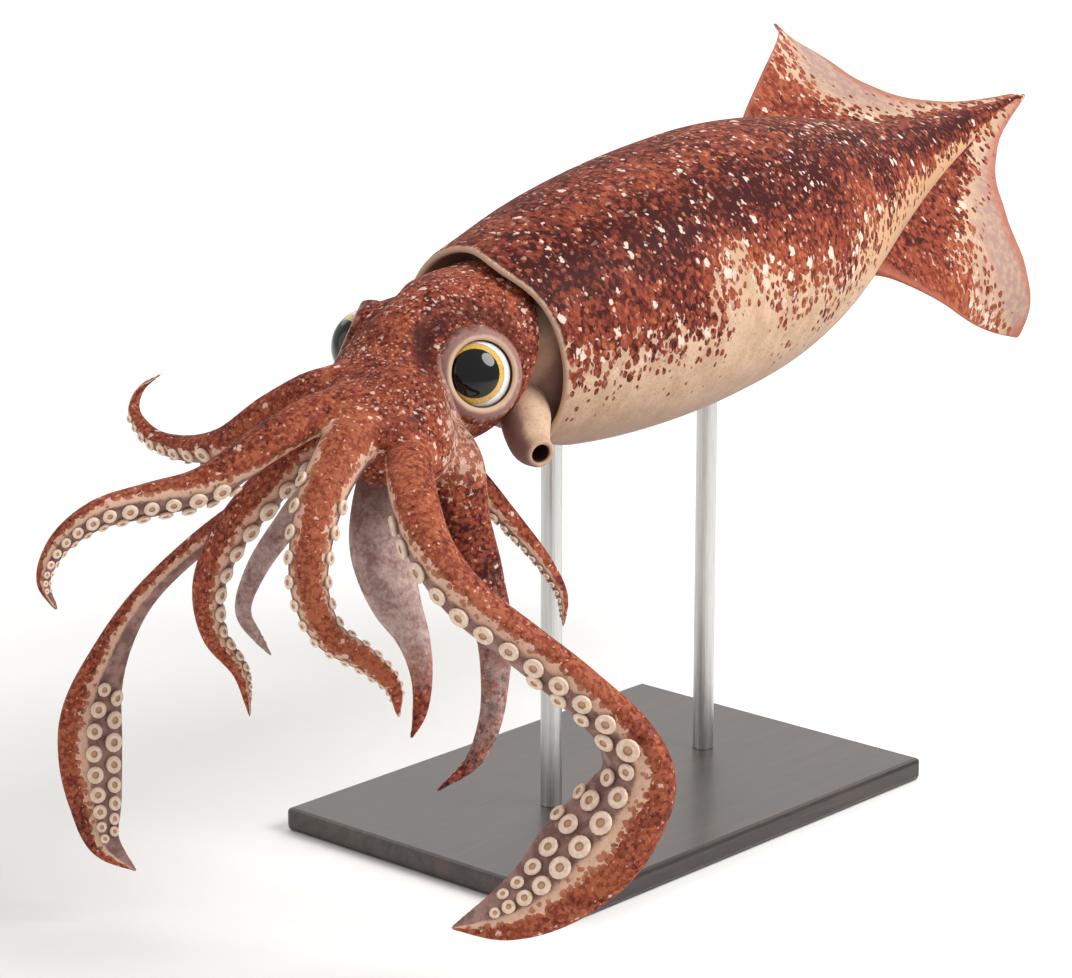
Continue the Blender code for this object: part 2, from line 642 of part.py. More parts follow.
def funnel_rings(extra, bore):
    """Rings down the funnel's outside and back up its bore, or only outside with the ends drawn out."""
    middles = catmull_rom([COLLAR + np.array(offset) for offset, _ in FUNNEL_ROUTE], per_span=3)
    stations = np.linspace(0.0, 1.0, len(FUNNEL_ROUTE))
    radii = [(station, radius) for station, (_, radius) in zip(stations, FUNNEL_ROUTE)]
    tangents = np.gradient(middles, axis=0)
    rings = []
    for middle, onward, share in zip(middles, tangents, np.linspace(0.0, 1.0, len(middles))):
        rings.append(circle(middle, onward, float(smooth_table(radii, share)[0]) + extra))
    onward = unit(tangents[-1])
    mouth = middles[-1]
    if not bore:
        inner = middles[0] - 0.01 * unit(tangents[0])
        rings.insert(0, circle(inner, tangents[0], FUNNEL_ROUTE[0][1] + extra))
        rings.append(circle(mouth + 0.01 * onward, onward, FUNNEL_ROUTE[-1][1] + extra))
    else:
        rings.append(circle(mouth + 0.0012 * onward, onward, FUNNEL_BORE + 0.0018))
        rings.append(circle(mouth, onward, FUNNEL_BORE))
        rings.append(circle(mouth - FUNNEL_BORE_DEPTH * onward, onward, FUNNEL_BORE * 0.8))
    return rings


def circle(middle, onward, radius):
    onward = unit(onward)
    lateral = unit(HEAD_LATERAL - (np.array(HEAD_LATERAL) @ onward) * onward)
    upward = np.cross(onward, lateral)
    angles = [2 * math.pi * step / FUNNEL_SIDES for step in range(FUNNEL_SIDES)]
    return [middle + radius * (lateral * math.cos(angle) + upward * math.sin(angle)) for angle in angles]


def build_head(limbs, collection, pieces, cutters):
    head = loft("head", head_rings(), collection)
    for limb in limbs:
        reach = ROOT_REACH[limb.name] / limb.length
        loft(f"root_{limb.name}", limb.rings(0.0, reach), pieces)
    for name, (middle, facing) in eye_places().items():
        ball(f"orbit_{name}", middle, EYE_RADIUS + SOCKET_WALL, facing, pieces)
        lid_ring(f"lid_{name}", middle, facing, pieces)
    combine(head, pieces, "UNION")
    for name, (middle, facing) in eye_places().items():
        ball(f"socket_{name}", middle, EYE_RADIUS + 2 * GAP, facing, cutters,
             EYE_SIDES, EYE_RINGS)
        opening_cutter(f"opening_{name}", middle, facing, cutters)
    loft("funnel_groove", funnel_rings(2 * GAP, False), cutters)
    combine(head, cutters, "DIFFERENCE")
    smooth(head)
    return head


def build_eye(name, collection):
    middle, facing = eye_places()[name]
    eye = ball(name, middle, EYE_RADIUS, facing, collection, EYE_SIDES, EYE_RINGS)
    smooth(eye)
    return eye


# Arms and tentacles


def limb_lengths(limb):
    """Start and end share of each length, with the gap between them."""
    gap = GAP / limb.length
    ends = [ROOT_REACH[limb.name] / limb.length, *CUTS[limb.name], 1.0]
    return [(start + gap, end) for start, end in zip(ends, ends[1:])]


def sucker_rows(limb, share):
    """The rows at this place on the limb and the spacing along them."""
    if limb.name in ARM_HALF_WIDTHS:
        return ARM_ROWS, SUCKER_SPACING["arm"]
    if share >= CLUB_STARTS[limb.name]:
        return CLUB_ROWS, SUCKER_SPACING["club"]
    return STALK_ROWS.get(limb.name, []), SUCKER_SPACING["stalk"]


def build_sucker(limb, share, across, radius, pieces):
    """A cup with a conical pit, its foot sunk in the limb's flesh."""
    middle, onward, oral, sideways = limb.frame(share)
    half_width, half_thickness = limb.half_sizes(share)
    rise = ORAL_FLATNESS * half_thickness * math.sqrt(1 - across ** 2)
    surface = middle + sideways * across * half_width + oral * rise
    outward = unit(oral + SUCKER_TILT * across * sideways)
    second = unit(np.cross(outward, onward))
    first = np.cross(second, outward)
    sides = SUCKER_SIDES if radius > SMALL_SUCKER else SMALL_SUCKER_SIDES
    shape = bmesh.new()
    rings = []
    for size, height in ((SUCKER_FOOT, -SUCKER_SINK * half_thickness), (1.0, SUCKER_HEIGHT * radius)):
        ring = []
        for side in range(sides):
            angle = 2 * math.pi * side / sides
            spoke = first * math.cos(angle) + second * math.sin(angle)
            ring.append(shape.verts.new(surface + outward * height + spoke * size * radius))
        rings.append(ring)
    foot, rim = rings
    pit = shape.verts.new(surface + outward * (SUCKER_HEIGHT - SUCKER_PIT) * radius)
    shape.faces.new(foot)
    for side in range(sides):
        after = (side + 1) % sides
        shape.faces.new((foot[side], foot[after], rim[after], rim[side]))
        shape.faces.new((rim[side], rim[after], pit))
    make_object("sucker", facing_out("sucker", shape), pieces)


def place_suckers(limb, start, end, pieces):
    """Marches down every row of one length, keeping each cup clear of the cuts."""
    rows, spacing = sucker_rows(limb, (start + end) / 2)
    for order, (across, size) in enumerate(rows):
        half_width = limb.half_sizes(start)[0]
        margin = 1.15 * size * half_width / limb.length
        share = start + margin + 0.5 * spacing * (order % 2) * half_width / limb.length
        while True:
            half_width = limb.half_sizes(share)[0]
            radius = size * half_width * random.uniform(1 - SIZE_SPREAD, 1 + SIZE_SPREAD)
            if radius < SMALLEST_SUCKER or share + 1.15 * radius / limb.length > end:
                break
            build_sucker(limb, share, across, radius, pieces)
            share += spacing * half_width / limb.length


def build_limb(limb, collection, pieces):
    nodes = []
    for (start, end), letter in zip(limb_lengths(limb), "abcd"):
        node = loft(f"{limb.name}_{letter}", limb.rings(start, end), collection)
        place_suckers(limb, start, end, pieces)
        if pieces.objects:
            combine(node, pieces, "UNION")
        smooth(node)
        nodes.append(node)
    return nodes


# Stand


def build_base(collection):
    shape = bmesh.new()
    bmesh.ops.create_cube(shape, size=1.0)
    bmesh.ops.scale(shape, vec=BASE_SIZE, verts=shape.verts[:])
    bmesh.ops.translate(shape, vec=(0.0, 0.0, BASE_SIZE[2] / 2), verts=shape.verts[:])
    base = make_object("stand_base", facing_out("stand_base", shape), collection)
    edge = base.modifiers.new("edge", "BEVEL")
    edge.width = BASE_EDGE
    edge.segments = 2
    apply_modifiers(base)
    return base


def build_rod(name, x, mantle, collection, cutters):
    """A rod from the base up to the belly, cut to the mantle's curve."""
    bottom = BASE_SIZE[2] + GAP
    share = (x - COLLAR[0]) / (MANTLE_LENGTH * TAILWARD[0])
    top = mantle_axis(share)[2] - mantle_radius(share) + 0.015
    shape = bmesh.new()
    bmesh.ops.create_cone(shape, cap_ends=True, segments=ROD_SIDES, radius1=ROD_RADIUS,
                          radius2=ROD_RADIUS, depth=top - bottom)
    bmesh.ops.translate(shape, vec=(x, 0.0, (top + bottom) / 2), verts=shape.verts[:])
    rod = make_object(name, facing_out(name, shape), collection)
    grown = make_object(f"clear_of_{name}", mantle.data.copy(), cutters)
    grown.matrix_world = mantle.matrix_world.copy()
    for vertex in grown.data.vertices:
        vertex.co = vertex.co + vertex.normal * 1.5 * GAP
    combine(rod, cutters, "DIFFERENCE")
    return rod


def remove_scene_objects():
    for part in list(bpy.data.objects):
        bpy.data.objects.remove(part)


def main():
    remove_scene_objects()
    random.seed(SEED)
    squid = collection_named("humboldt_squid")
    pieces = collection_named("pieces")
    cutters = collection_named("cutters")
    limbs = [Limb(name) for name in ROUTES]

    mantle = build_mantle(squid)
    paint(mantle, "mantle")
    for name, side in (("fin_left", -1), ("fin_right", 1)):
        paint(build_fin(name, side, squid), "fin")
    paint(build_head(limbs, squid, pieces, cutters), "head")
    for name in eye_places():
        paint(build_eye(name, squid), "eye")
    funnel = loft("funnel", funnel_rings(0.0, True), squid)
    smooth(funnel)
    paint(funnel, "funnel")
    for limb in limbs:
        for node in build_limb(limb, squid, pieces):
            paint(node, limb.name.split("_")[0])
    paint(build_base(squid), "stand_base")
    bpy.context.view_layer.update()
    for name, x in ROD_PLACES.items():
        paint(build_rod(name, x, mantle, squid, cutters), "stand_rod")
    for leftover in (pieces, cutters):
        bpy.data.collections.remove(leftover)


main()
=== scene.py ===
# %% [markdown]
# # A Humboldt squid on its display stand
#
# The squid was packed as plain solids: a mantle, two fins, a head with eyes and a funnel,
# eight arms and two tentacles cut into lengths, and a stand. This lesson dresses them. The
# solids stay where they are, and smoother, finer pieces take their place in the picture.
# First the imported model is loaded.

# %% Load the imported model
import math
import random

import bpy
import numpy as np
from mathutils import Matrix, Vector
from mathutils.bvhtree import BVHTree
from mathutils.kdtree import KDTree


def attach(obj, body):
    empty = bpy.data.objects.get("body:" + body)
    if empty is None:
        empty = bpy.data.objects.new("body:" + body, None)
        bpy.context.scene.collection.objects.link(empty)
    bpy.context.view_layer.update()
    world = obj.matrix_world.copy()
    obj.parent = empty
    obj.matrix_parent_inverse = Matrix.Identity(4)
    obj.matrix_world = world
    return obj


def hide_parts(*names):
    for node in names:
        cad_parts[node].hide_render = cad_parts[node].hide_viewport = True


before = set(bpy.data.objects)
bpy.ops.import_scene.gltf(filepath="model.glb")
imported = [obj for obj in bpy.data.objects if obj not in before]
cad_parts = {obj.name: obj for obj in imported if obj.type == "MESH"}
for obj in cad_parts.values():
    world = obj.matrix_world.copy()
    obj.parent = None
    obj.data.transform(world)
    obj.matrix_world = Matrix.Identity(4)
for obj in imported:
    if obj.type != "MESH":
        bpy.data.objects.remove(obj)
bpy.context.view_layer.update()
random.seed(11)

# %% [markdown]
# ## The camera
#
# The picture was read with one simple camera: it looks from the squid's left front, 15 degrees
# down, and the middle of the mantle's opening shows at a known pixel. The same numbers place
# Blender's camera here, so a point that was read off the picture lands on its pixel again.
# The lens follows from how many pixels one metre covers at one metre's distance.

# %% The camera
PICTURE_WIDTH = 1072
PICTURE_HEIGHT = 978
SENSOR_WIDTH = 36.0
VIEW_AZIMUTH = math.radians(-48)
VIEW_ELEVATION = math.radians(15)
CAMERA_DISTANCE = 3.0
PIXELS_AT_ONE_METRE = 3761
COLLAR_PIXEL = (485, 350)
COLLAR = np.array([-0.155, 0.0, 0.425])
BODY_PITCH = math.radians(9)

ACROSS = np.array([math.cos(VIEW_AZIMUTH), math.sin(VIEW_AZIMUTH), 0.0])
INTO = np.array([-math.sin(VIEW_AZIMUTH) * math.cos(VIEW_ELEVATION),
                 math.cos(VIEW_AZIMUTH) * math.cos(VIEW_ELEVATION), -math.sin(VIEW_ELEVATION)])
RISE = np.cross(ACROSS, INTO)
TAILWARD = np.array([math.cos(BODY_PITCH), 0.0, math.sin(BODY_PITCH)])
BACKWARD = np.array([-math.sin(BODY_PITCH), 0.0, math.cos(BODY_PITCH)])
LEFTWARD = np.array([0.0, -1.0, 0.0])


def from_picture(x, y, near):
    """The point that shows at pixel x, y, this many metres nearer than the collar."""
    depth = CAMERA_DISTANCE - near
    scale = PIXELS_AT_ONE_METRE / depth
    right = (x - PICTURE_WIDTH / 2) / scale
    up = (PICTURE_HEIGHT / 2 - y) / scale
    return CAMERA_PLACE + right * ACROSS + up * RISE + depth * INTO


def view_vector(across, up, near):
    return unit(across * ACROSS + up * RISE - near * INTO)


def unit(vectors):
    """Vectors, one or one per row, brought to length one."""
    vectors = np.asarray(vectors, float)
    return vectors / np.linalg.norm(vectors, axis=-1, keepdims=True)


collar_scale = PIXELS_AT_ONE_METRE / CAMERA_DISTANCE
CAMERA_PLACE = (COLLAR - (COLLAR_PIXEL[0] - PICTURE_WIDTH / 2) / collar_scale * ACROSS
                - (PICTURE_HEIGHT / 2 - COLLAR_PIXEL[1]) / collar_scale * RISE - CAMERA_DISTANCE * INTO)
bpy.ops.object.camera_add(location=CAMERA_PLACE)
camera = bpy.context.object
camera.name = "camera"
camera.rotation_euler = Matrix((ACROSS, RISE, -INTO)).transposed().to_euler()
camera.data.sensor_width = SENSOR_WIDTH
camera.data.lens = PIXELS_AT_ONE_METRE / PICTURE_WIDTH * SENSOR_WIDTH
camera.data.clip_end = 50.0
bpy.context.scene.camera = camera
print("camera at", [round(float(c), 3) for c in CAMERA_PLACE], "lens", round(camera.data.lens, 1), "mm")

# %% [markdown]
# ## Rolling a grid into a shape
#
# Almost every soft form here is a tube or a cap, so one trick makes them all. A flat grid is
# added, and each of its corners is laid where a rule says, going once round in u and along
# in v. Then the edges that meet are merged, and the faces are turned outward. It is quick,
# and the corners are evenly spread, which suits a pattern and a smooth surface.

# %% Rolled grids


def deselect_all():
    """Operators act on all that is selected, so each step starts from nothing."""
    if bpy.context.object and bpy.context.object.mode != "OBJECT":
        bpy.ops.object.mode_set(mode="OBJECT")
    bpy.ops.object.select_all(action="DESELECT")


def select_only(piece):
    deselect_all()
    piece.select_set(True)
    bpy.context.view_layer.objects.active = piece


def read_corners(piece):
    corners = np.empty(len(piece.data.vertices) * 3)
    piece.data.vertices.foreach_get("co", corners)
    return corners.reshape(-1, 3)


def write_corners(piece, corners):
    piece.data.vertices.foreach_set("co", np.asarray(corners, float).ravel())
    piece.data.update()


def write_values(piece, name, values):
    """Keeps one number per corner on the mesh, for a material to read."""
    layer = piece.data.attributes.get(name) or piece.data.attributes.new(name, "FLOAT", "POINT")
    layer.data.foreach_set("value", np.asarray(values, float))


def merge_and_face_out(piece, distance=0.00002):
    select_only(piece)
    bpy.ops.object.mode_set(mode="EDIT")
    bpy.ops.mesh.select_all(action="SELECT")
    bpy.ops.mesh.remove_doubles(threshold=distance)
    bpy.ops.mesh.normals_make_consistent(inside=False)
    bpy.ops.object.mode_set(mode="OBJECT")


def rolled_grid(name, around, along, place, values=None):
    """A grid primitive, laid by place(u, v), with any values(u, v) kept on its corners."""
    deselect_all()
    bpy.ops.mesh.primitive_grid_add(x_subdivisions=around, y_subdivisions=along, size=1.0)
    piece = bpy.context.object
    piece.name = name
    piece.data.name = name
    flat = read_corners(piece)
    u, v = flat[:, 0] + 0.5, flat[:, 1] + 0.5
    write_corners(piece, place(u, v))
    for value_name, numbers in (values(u, v) if values else {}).items():
        write_values(piece, value_name, numbers)
    merge_and_face_out(piece)
    bpy.ops.object.shade_smooth()
    return piece


def joined(name, pieces):
    """Several objects made one."""
    deselect_all()
    for piece in pieces:
        piece.select_set(True)
    bpy.context.view_layer.objects.active = pieces[0]
    bpy.ops.object.join()
    pieces[0].name = name
    pieces[0].data.name = name
    return pieces[0]


def eased(low, high, values):
    """0 below low, 1 above high, and a soft step between."""
    part = np.clip((np.asarray(values, float) - low) / (high - low), 0.0, 1.0)
    return part * part * (3 - 2 * part)


def report(piece):
    piece.data.calc_loop_triangles()
    print(piece.name, len(piece.data.loop_triangles), "triangles")


# %% [markdown]
# ## Curves and tables
#
# The squid's forms are read from short tables, such as the mantle's radius at a few places
# along it. Straight lines between those numbers would show as kinks, so such a table is read
# with eased steps; only rows that lie close together are read in straight lines. A limb's
# route is a smooth curve through its points, resampled evenly so that equal shares of it are
# equal lengths.

# %% Curves and tables
ROUTE_SAMPLES = 400


def catmull_rom(points, per_span=24):
    """A smooth curve through the points, with knots set by the square root of their distance."""
    points = np.asarray(points, float)
    padded = np.vstack([2 * points[0] - points[1], points, 2 * points[-1] - points[-2]])
    knots = np.concatenate([[0.0], np.cumsum(np.sqrt(np.linalg.norm(np.diff(padded, axis=0), axis=1)))])
    curve = []
    for i in range(len(points) - 1):
        p, k = padded[i:i + 4], knots[i:i + 4]
        for t in np.linspace(k[1], k[2], per_span, endpoint=False):
            a = [((k[j + 1] - t) * p[j] + (t - k[j]) * p[j + 1]) / (k[j + 1] - k[j]) for j in range(3)]
            b = [((k[j + 2] - t) * a[j] + (t - k[j]) * a[j + 1]) / (k[j + 2] - k[j]) for j in range(2)]
            curve.append(((k[2] - t) * b[0] + (t - k[1]) * b[1]) / (k[2] - k[1]))
    curve.append(points[-1])
    return np.array(curve)


def read_rows(rows, shares, places=None):
    """Reads evenly spaced rows, or rows at given places, in straight lines between them."""
    rows = np.asarray(rows, float)
    places = np.linspace(0.0, 1.0, len(rows)) if places is None else places
    return np.stack([np.interp(shares, places, column) for column in rows.T], axis=-1)


def run_along(rows):
    """The distance run from the first row to each row."""
    return np.concatenate([[0.0], np.cumsum(np.linalg.norm(np.diff(rows, axis=0), axis=1))])


def spaced_evenly(curve, count):
    """The curve's points at even steps, and its length."""
    along = run_along(curve)
    return read_rows(curve, np.linspace(0.0, along[-1], count), along), along[-1]


def read_table(table, shares):
    """Reads rows of (share, value, ...) at many shares, with eased steps between the rows."""
    table = np.asarray(table, float)
    shares = np.asarray(shares, float)
    row = np.clip(np.searchsorted(table[:, 0], shares) - 1, 0, len(table) - 2)
    width = table[row + 1, 0] - table[row, 0]
    part = np.clip((shares - table[row, 0]) / width, 0.0, 1.0)[..., None]
    slopes = np.gradient(table[:, 1:], table[:, 0], axis=0)
    width = width[..., None]
    start = ((1 + 2 * part) * (1 - part) ** 2 * table[row, 1:]
             + part * (1 - part) ** 2 * width * slopes[row])
    end = (part ** 2 * (3 - 2 * part) * table[row + 1, 1:]
           - part ** 2 * (1 - part) * width * slopes[row + 1])
    return start + end


# %% [markdown]
# ## Writing a material as sums
#
# A skin's colour is mostly arithmetic: take a pale ground, cover it where a number passes a
# threshold, and so on. Wiring that by hand is slow, so a small class wraps a node's output.
# Adding or multiplying two of them adds the Math node. Colours are mixed by Mix nodes,
# because a Math node would turn them grey. Every other node comes from one method.

# %% A small language for shader nodes


class Wire:
    """The output of a node, in sums that add Math nodes."""

    def __init__(self, skin, socket):
        self.skin = skin
        self.socket = socket

    def math(self, operation, first, second=None):
        values = {0: first} if second is None else {0: first, 1: second}
        return self.skin.node("ShaderNodeMath", {"operation": operation}, values)

    def __add__(self, other):
        return self.math("ADD", self, other)

    def __radd__(self, other):
        return self.math("ADD", other, self)

    def __sub__(self, other):
        return self.math("SUBTRACT", self, other)

    def __rsub__(self, other):
        return self.math("SUBTRACT", other, self)

    def __mul__(self, other):
        return self.math("MULTIPLY", self, other)

    def __rmul__(self, other):
        return self.math("MULTIPLY", other, self)

    def __truediv__(self, other):
        return self.math("DIVIDE", self, other)

    def __rtruediv__(self, other):
        return self.math("DIVIDE", other, self)

    def least(self, other):
        return self.math("MINIMUM", self, other)

    def most(self, other):
        return self.math("MAXIMUM", self, other)

    def size(self):
        return self.math("ABSOLUTE", self)

    def root(self):
        return self.math("SQRT", self)

    def step(self, low, high):
        """0 at low, 1 at high, and a soft step between, also where high is the smaller."""
        return self.skin.node("ShaderNodeMapRange", {"interpolation_type": "SMOOTHSTEP", "clamp": True},
                              {0: self, 1: low, 2: high, 3: 0.0, 4: 1.0})


class Finish:
    """A material with one Principled shader, and the means to wire it."""

    def __init__(self, name, **constants):
        self.material = bpy.data.materials.new(name)
        self.material.use_nodes = True
        self.tree = self.material.node_tree
        self.shader = next(node for node in self.tree.nodes if node.type == "BSDF_PRINCIPLED")
        for socket, value in constants.items():
            self.shader.inputs[socket.replace("_", " ")].default_value = value

    def node(self, kind, settings=None, values=None, output=0):
        """Adds a node, sets it up, then gives its sockets numbers or wires."""
        node = self.tree.nodes.new(kind)
        for name, setting in (settings or {}).items():
            setattr(node, name, setting)
        for socket, value in (values or {}).items():
            if isinstance(value, Wire):
                self.tree.links.new(value.socket, node.inputs[socket])
            else:
                node.inputs[socket].default_value = value
        return Wire(self, node.outputs[output])

    def place(self):
        return self.node("ShaderNodeTexCoord", output="Object")

    def value(self, name):
        return self.node("ShaderNodeAttribute", {"attribute_name": name}, output="Fac")

    def stretched(self, place, turn, scale):
        """The place, turned about Y and then stretched, so that patterns run along the body."""
        turned = self.node("ShaderNodeMapping", {"vector_type": "POINT"},
                           {"Vector": place, "Rotation": (0.0, turn, 0.0)})
        return self.node("ShaderNodeMapping", {"vector_type": "POINT"}, {"Vector": turned, "Scale": scale})

    def noise(self, place, scale, detail=3.0, roughness=0.5, distortion=0.0):
        return self.node("ShaderNodeTexNoise", {"noise_dimensions": "3D"},
                         {"Vector": place, "Scale": scale, "Detail": detail, "Roughness": roughness,
                          "Distortion": distortion})

    def cells(self, place, scale):
        """Distance to the nearest of many scattered points, and two random numbers for each."""
        distance = self.node("ShaderNodeTexVoronoi", {"feature": "F1"},
                             {"Vector": place, "Scale": scale, "Randomness": 1.0}, "Distance")
        colour = Wire(self, distance.socket.node.outputs["Color"])
        parts = self.node("ShaderNodeSeparateColor", None, {0: colour}).socket.node
        return distance, Wire(self, parts.outputs[0]), Wire(self, parts.outputs[1])

    def mix(self, factor, first, second):
        return self.node("ShaderNodeMix", {"data_type": "RGBA", "clamp_factor": True},
                         {0: factor, 6: first, 7: second}, 2)

    def from_point(self, place, point):
        """The vector to each place from a fixed point."""
        return self.node("ShaderNodeVectorMath", {"operation": "SUBTRACT"}, {0: place, 1: tuple(point)})

    def dot(self, vector, direction):
        return self.node("ShaderNodeVectorMath", {"operation": "DOT_PRODUCT"},
                         {0: vector, 1: tuple(direction)}, "Value")

    def length(self, vector):
        return self.node("ShaderNodeVectorMath", {"operation": "LENGTH"}, {0: vector}, "Value")

    def about_line(self, offset, direction):
        """How far ahead an offset reaches along a direction, and how far beside it."""
        ahead = self.dot(offset, direction)
        length = self.length(offset)
        return ahead, (length * length - ahead * ahead).most(0.0).root()

    def warped(self, place, scale, amount):
        """The place, pushed about a little, so that what reads it gets ragged edges."""
        push = self.node("ShaderNodeTexNoise", {"noise_dimensions": "3D"},
                         {"Vector": place, "Scale": scale, "Detail": 2.0}, 1)
        centred = self.from_point(push, (0.5, 0.5, 0.5))
        scaled = self.node("ShaderNodeVectorMath", {"operation": "SCALE"}, {0: centred, "Scale": amount})
        return self.node("ShaderNodeVectorMath", {"operation": "ADD"}, {0: place, 1: scaled})

    def feed(self, socket, wire):
        self.tree.links.new(wire.socket, self.shader.inputs[socket])

    def bump(self, height, strength, distance):
        self.feed("Normal", self.node("ShaderNodeBump", None, {"Height": height, "Strength": strength,
                                                               "Distance": distance}))


# %% [markdown]
# ## The colours of the skin
#
# A Humboldt squid's skin is full of chromatophores, tiny sacs of pigment over a pale, milky
# ground. Where they are open the skin is rust red, crowded patches go maroon, and closed
# ones leave cream flecks. So the finish is built in that order: a pale ground, ragged rust
# cover, round spots along its border, dusky patches and then flecks. Each piece of skin says
# how much cover and dusk it has; the raggedness comes from noise and scattered cells.

# %% The colours of the skin
CREAM = (0.64, 0.44, 0.30, 1.0)
SAND = (0.52, 0.34, 0.22, 1.0)
FLECK = (0.84, 0.65, 0.54, 1.0)
RUST = (0.270, 0.060, 0.034, 1.0)
ORANGE = (0.405, 0.118, 0.060, 1.0)
BRICK = (0.150, 0.033, 0.024, 1.0)
MAROON = (0.055, 0.015, 0.014, 1.0)
MAUVE = (0.34, 0.205, 0.185, 1.0)
MAUVE_SHADE = (0.185, 0.100, 0.092, 1.0)
ROSE = (0.58, 0.265, 0.170, 1.0)
EMBER = (0.50, 0.165, 0.070, 1.0)
PINK_FLECK = (0.76, 0.520, 0.440, 1.0)
# How much each kind of mark covers what is under it
SPECKS, SEAMS, EMBERS, SMALL_FLECKS, BIG_FLECKS = 0.55, 0.40, 0.70, 0.75, 0.90


def pale_ground(skin, place):
    """Milky cream with sandy clouds and fine grey specks."""
    clouds = skin.noise(place, 45.0, 5.0, 0.65).step(0.36, 0.66)
    ground = skin.mix(clouds, CREAM, SAND)
    distance, chance, _ = skin.cells(place, 460.0)
    specks = distance.step(0.45, 0.22) * chance.step(0.50, 0.52)
    return skin.mix(specks * SPECKS, ground, MAUVE)


def rust_tones(skin, place, dusk, fineness):
    """Small cells of brick, rust and orange, going maroon where the dusk is high."""
    broad = skin.noise(place, 42.0, 4.0, 0.6)
    fine = skin.noise(place, 260.0 * fineness, 4.0, 0.7)
    distance, chance, second = skin.cells(skin.warped(place, 430.0 * fineness, 0.0026 / fineness),
                                          280.0 * fineness)
    tone = chance * 0.60 + (broad - 0.5) * 0.8 + (fine - 0.5) * 1.3 - dusk * 0.55 + 0.19
    rust = skin.mix(tone.step(0.06, 0.24), MAROON, BRICK)
    rust = skin.mix(tone.step(0.26, 0.44), rust, RUST)
    rust = skin.mix(tone.step(0.56, 0.78), rust, ORANGE)
    seams = distance.step(0.42, 0.72) * second.step(0.45, 0.60)
    rust = skin.mix(seams * SEAMS, rust, MAROON)
    embers = flecks(skin, place, 150.0 * fineness, 0.34, 0.36)
    return skin.mix(embers * EMBERS, rust, EMBER), fine


def flecks(skin, place, scale, share, reach):
    """Scattered ragged flecks: how many to the metre, the share that shows, and their size."""
    ragged = skin.warped(place, scale * 2.1, 0.80 / scale)
    distance, chance, size = skin.cells(ragged, scale)
    radius = reach * (0.45 + 0.55 * size)
    return (radius - distance).step(-0.03, 0.05) * (chance - (1.0 - share)).step(0.0, 0.02)


def coloured_skin(skin, place, cover, dusk, amount=1.0, fineness=1.0, edge=0.0, fleck=FLECK):
    """The whole skin, from its cover of rust, its dusk, the amount of flecks, how fine the cells
    are and how rosy the rust's border is. Returns colour, where rust shows, and fine noise."""
    ground = pale_ground(skin, place)
    rust, fine = rust_tones(skin, place, dusk, fineness)
    distance, chance, _ = skin.cells(skin.warped(place, 330.0 * fineness, 0.0030 / fineness),
                                     165.0 * fineness)
    radius = cover * 1.02 + (chance - 0.5) * (0.46 - cover.step(0.80, 1.0) * 0.26) - 0.06
    pigment = (radius - distance).step(-0.03, 0.06)
    rust = skin.mix(cover.step(0.95, 0.45) * edge, rust, ROSE)
    colour = skin.mix(pigment, ground, rust)
    crowd = skin.noise(place, 24.0, 3.0).step(0.38, 0.62)
    on_rust = cover.step(0.35, 0.75)
    thinning = cover.step(1.08, 0.76)
    big = flecks(skin, place, 102.0 * fineness,
                 (0.16 + 0.36 * crowd) * (1.0 + 1.3 * thinning) * amount, 0.32 + 0.12 * thinning)
    small = flecks(skin, place, 230.0 * fineness, (0.16 + 0.30 * crowd) * amount, 0.37)
    colour = skin.mix(small * on_rust * SMALL_FLECKS, colour, skin.mix(chance, ROSE, fleck))
    return skin.mix(big * on_rust * BIG_FLECKS, colour, fleck), pigment, fine


def finish_skin(skin, place, colour, pigment, fine):
    """Satin gloss, a little wetter on pale skin, and a fine wrinkled bump."""
    skin.feed("Base Color", colour)
    skin.feed("Roughness", 0.50 + 0.14 * fine + 0.05 * pigment)
    wrinkles = skin.noise(place, 380.0, 3.0, 0.6)
    skin.bump(wrinkles * 0.8 + fine * 0.6 + pigment * 0.25, 0.22, 0.0010)


SKIN_GLOSS = {"Coat_Weight": 0.02, "Coat_Roughness": 0.25, "Specular_IOR_Level": 0.03}


# %% [markdown]
# ## The mantle
#
# The mantle is the squid's muscular bag, open at the collar and drawn out to a point behind.
# It is turned from its radius table, like clay on a wheel, from the floor of the pocket
# behind the collar, over the rolled lip and out along the back. Its middle line bows a
# little towards the belly. The collar has a low lobe on the back that juts forward, and a
# wide notch on the belly, which makes room for the funnel.

# %% The mantle's shape
MANTLE_LENGTH = 0.75
MANTLE_OUTLINE = [(0.0, 0.0870), (0.04, 0.0928), (0.12, 0.1042), (0.22, 0.1120), (0.32, 0.1138),
                  (0.42, 0.1095), (0.51, 0.0960), (0.58, 0.0795), (0.65, 0.0610), (0.75, 0.0385),
                  (0.86, 0.0200), (0.95, 0.0080)]
BELLY_BOW = 0.012
COLLAR_WALL = 0.006
POCKET_DEPTH = 0.050
POCKET_RADIUS = 0.078
LOBE_ROLL = math.radians(24)
LOBE_REACH = 0.012
LOBE_WIDTH = math.radians(22)
NOTCH_MIDDLE = math.radians(200)
NOTCH_WIDTH = math.radians(48)
NOTCH_DEPTH = 0.042
LIP_FADE = 0.06
LIP_ROWS = 10
MANTLE_AROUND = 200


def mantle_radius(shares):
    last_share, last_radius = MANTLE_OUTLINE[-1]
    shares = np.asarray(shares, float)
    radii = read_table(MANTLE_OUTLINE, np.minimum(shares, last_share))[..., 0]
    tail = last_radius * np.sqrt(np.clip((1.0 - shares) / (1.0 - last_share), 0.0, 1.0))
    return np.where(shares >= last_share, tail, radii)


